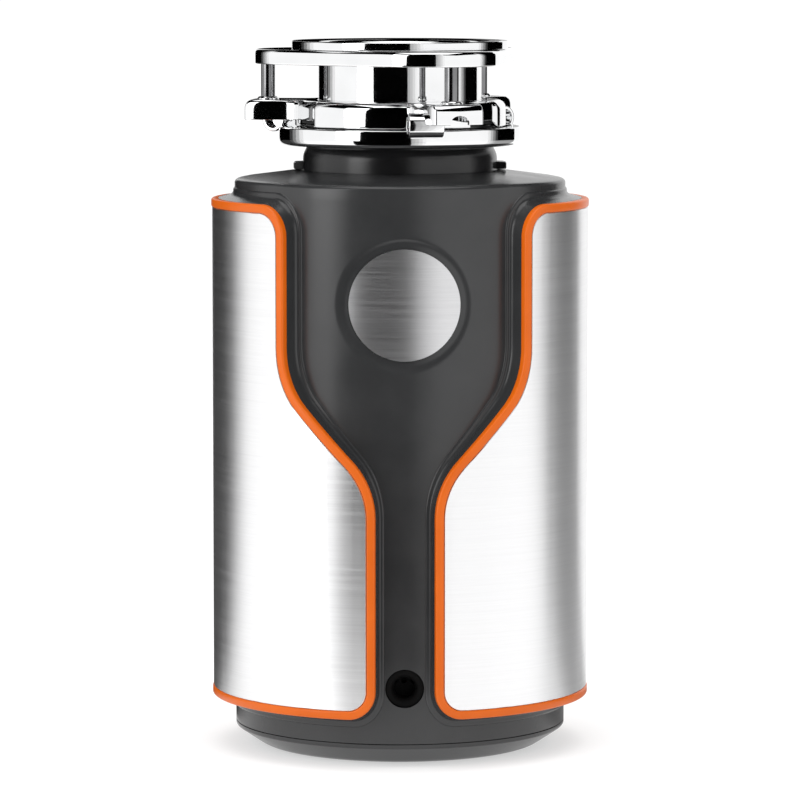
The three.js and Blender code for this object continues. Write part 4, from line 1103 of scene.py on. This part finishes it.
# ---------------------------------------------------------------- floor, light and camera
def stage_material(name, shade, rough, glow=0.0):
    """Matt grey cloth or paper, with a hardly visible unevenness."""
    material, tree, shader = new_material(name)
    cloud = noise(tree, 2.5, 2)
    light = min(1, shade * 1.01)
    tree.links.new(tint(tree, cloud, (shade,) * 3, (light,) * 3), shader.inputs["Base Color"])
    shader.inputs["Roughness"].default_value = rough
    shader.inputs["Specular IOR Level"].default_value = 0.0
    shader.inputs["Emission Color"].default_value = (1, 1, 1, 1)
    shader.inputs["Emission Strength"].default_value = glow
    return material


def floor():
    """Pale floor, lit a little from below like a light table, so that its shadow stays soft."""
    piece = sheet_at(80000, -0.3).build("floor")
    piece.data.materials.append(stage_material("floor_paper", 0.5, 0.9, 0.52))


def sheet_at(half, height):
    """Flat square sheet, half as wide as given, at this height."""
    corners = [(x * half, y * half, height) for x, y in ((-1, -1), (1, -1), (1, 1), (-1, 1))]
    return Shape().add(corners, [[0, 1, 2, 3]])


def hide_from_all_but_reflections(piece):
    piece.visible_camera = False
    piece.visible_diffuse = False
    piece.visible_shadow = False
    piece.visible_transmission = False
    piece.visible_volume_scatter = False


def card(name, start, end, near, mat_shade, screen_shade):
    """Studio card, seen only in reflections: a mat on the floor that rises as a screen at its far end.

    It spans the angles from start to end, counted from the front.
    """
    steps, far, foot, top = 12, 2600, 2, 3000
    angles = [start + (end - start) * i / steps for i in range(steps + 1)]
    mat = ("mat", mat_shade, ((near, foot), (far, foot)))
    screen = ("screen", screen_shade, ((far, foot), (far, top)))
    for part, shade, edges in (mat, screen):
        rows = [[on_body(angle, radius, z, 1) for angle in angles] for radius, z in edges]
        piece = Shape().grid(rows).build(f"{name}_{part}")
        piece.data.materials.append(stage_material(f"{name}_{part}_cloth", shade, 1))
        hide_from_all_but_reflections(piece)


def soft_card(name, start, end, near, mat_shade, fade_start, fade_end, edge=0.0):
    """A black screen with a mat of the given shade. Its upright edges fade over these angles to pale."""
    pale, bands = 0.9, 4
    card(name, start, end, near, mat_shade, 0.0)
    for k in range(bands):
        shade = edge + (pale - edge) * ((k + 0.5) / bands) ** 1.5
        mat = mat_shade + (pale - mat_shade) * shade
        low, high = k / bands, (k + 1) / bands
        if fade_start:
            before = (start - fade_start * high, start - fade_start * low)
            card(f"{name}_before_{k}", *before, near, mat, shade)
        if fade_end:
            after = (end + fade_end * low, end + fade_end * high)
            card(f"{name}_after_{k}", *after, near, mat, shade)


def dark_ceiling():
    """Dark ceiling, seen only in reflections: it draws a dark line along the chrome's upper edges."""
    piece = sheet_at(4500, 2600).build("card_ceiling")
    piece.data.materials.append(stage_material("ceiling_cloth", 0.0, 1))
    hide_from_all_but_reflections(piece)


def area_light(name, place, target, size, power):
    """Rectangular lamp, in metres and watts, aimed at target."""
    data = bpy.data.lights.new(name, "AREA")
    data.shape = "RECTANGLE"
    data.size, data.size_y = size
    data.energy = power
    lamp = bpy.data.objects.new(name, data)
    lamp.location = place
    lamp.rotation_euler = (Vector(target) - Vector(place)).to_track_quat("-Z", "Y").to_euler()
    lamp.visible_camera = False
    bpy.context.scene.collection.objects.link(lamp)


def studio():
    """White surround, two soft boxes, and the dark cards that draw the reflections."""
    world = bpy.data.worlds.new("white_room")
    bpy.context.scene.world = world
    world.use_nodes = True
    background = world.node_tree.nodes["Background"]
    background.inputs["Color"].default_value = (1, 1, 1, 1)
    background.inputs["Strength"].default_value = 1.06
    middle = (0, 0, 0.19)
    area_light("top_softbox", (0, -0.3, 1.9), middle, (1.6, 1.6), 14)
    area_light("left_softbox", (-1.5, -1.2, 0.8), middle, (0.9, 1.4), 9)
    soft_card("card_front", -46, 9, 330, 0.0, 0, 14, 0.4)
    soft_card("card_right", 104, 138, 104, 0.3, 14, 0)
    soft_card("card_left", -168, -130, 120, 0.03, 0, 24)
    soft_card("card_back", 177.2, 182.8, 350, 0.0, 2.4, 2.4)
    dark_ceiling()
    floor()


def camera():
    """Long lens, slightly above and a little to the left, as in the product picture."""
    distance, eye_height = 2490, 432
    side_degrees, pitch_degrees = -1.6, 5.7
    a = math.radians(side_degrees)
    data = bpy.data.cameras.new("camera")
    data.sensor_width = 36
    data.lens = 210.6
    data.clip_end = 100
    eye = bpy.data.objects.new("camera", data)
    eye.location = Vector((distance * math.sin(a), -distance * math.cos(a), eye_height)) * MM
    eye.rotation_euler = (math.radians(90 - pitch_degrees), 0, a)
    bpy.context.scene.collection.objects.link(eye)
    bpy.context.scene.camera = eye


studio()
camera()
bpy.context.scene.view_settings.view_transform = "Standard"
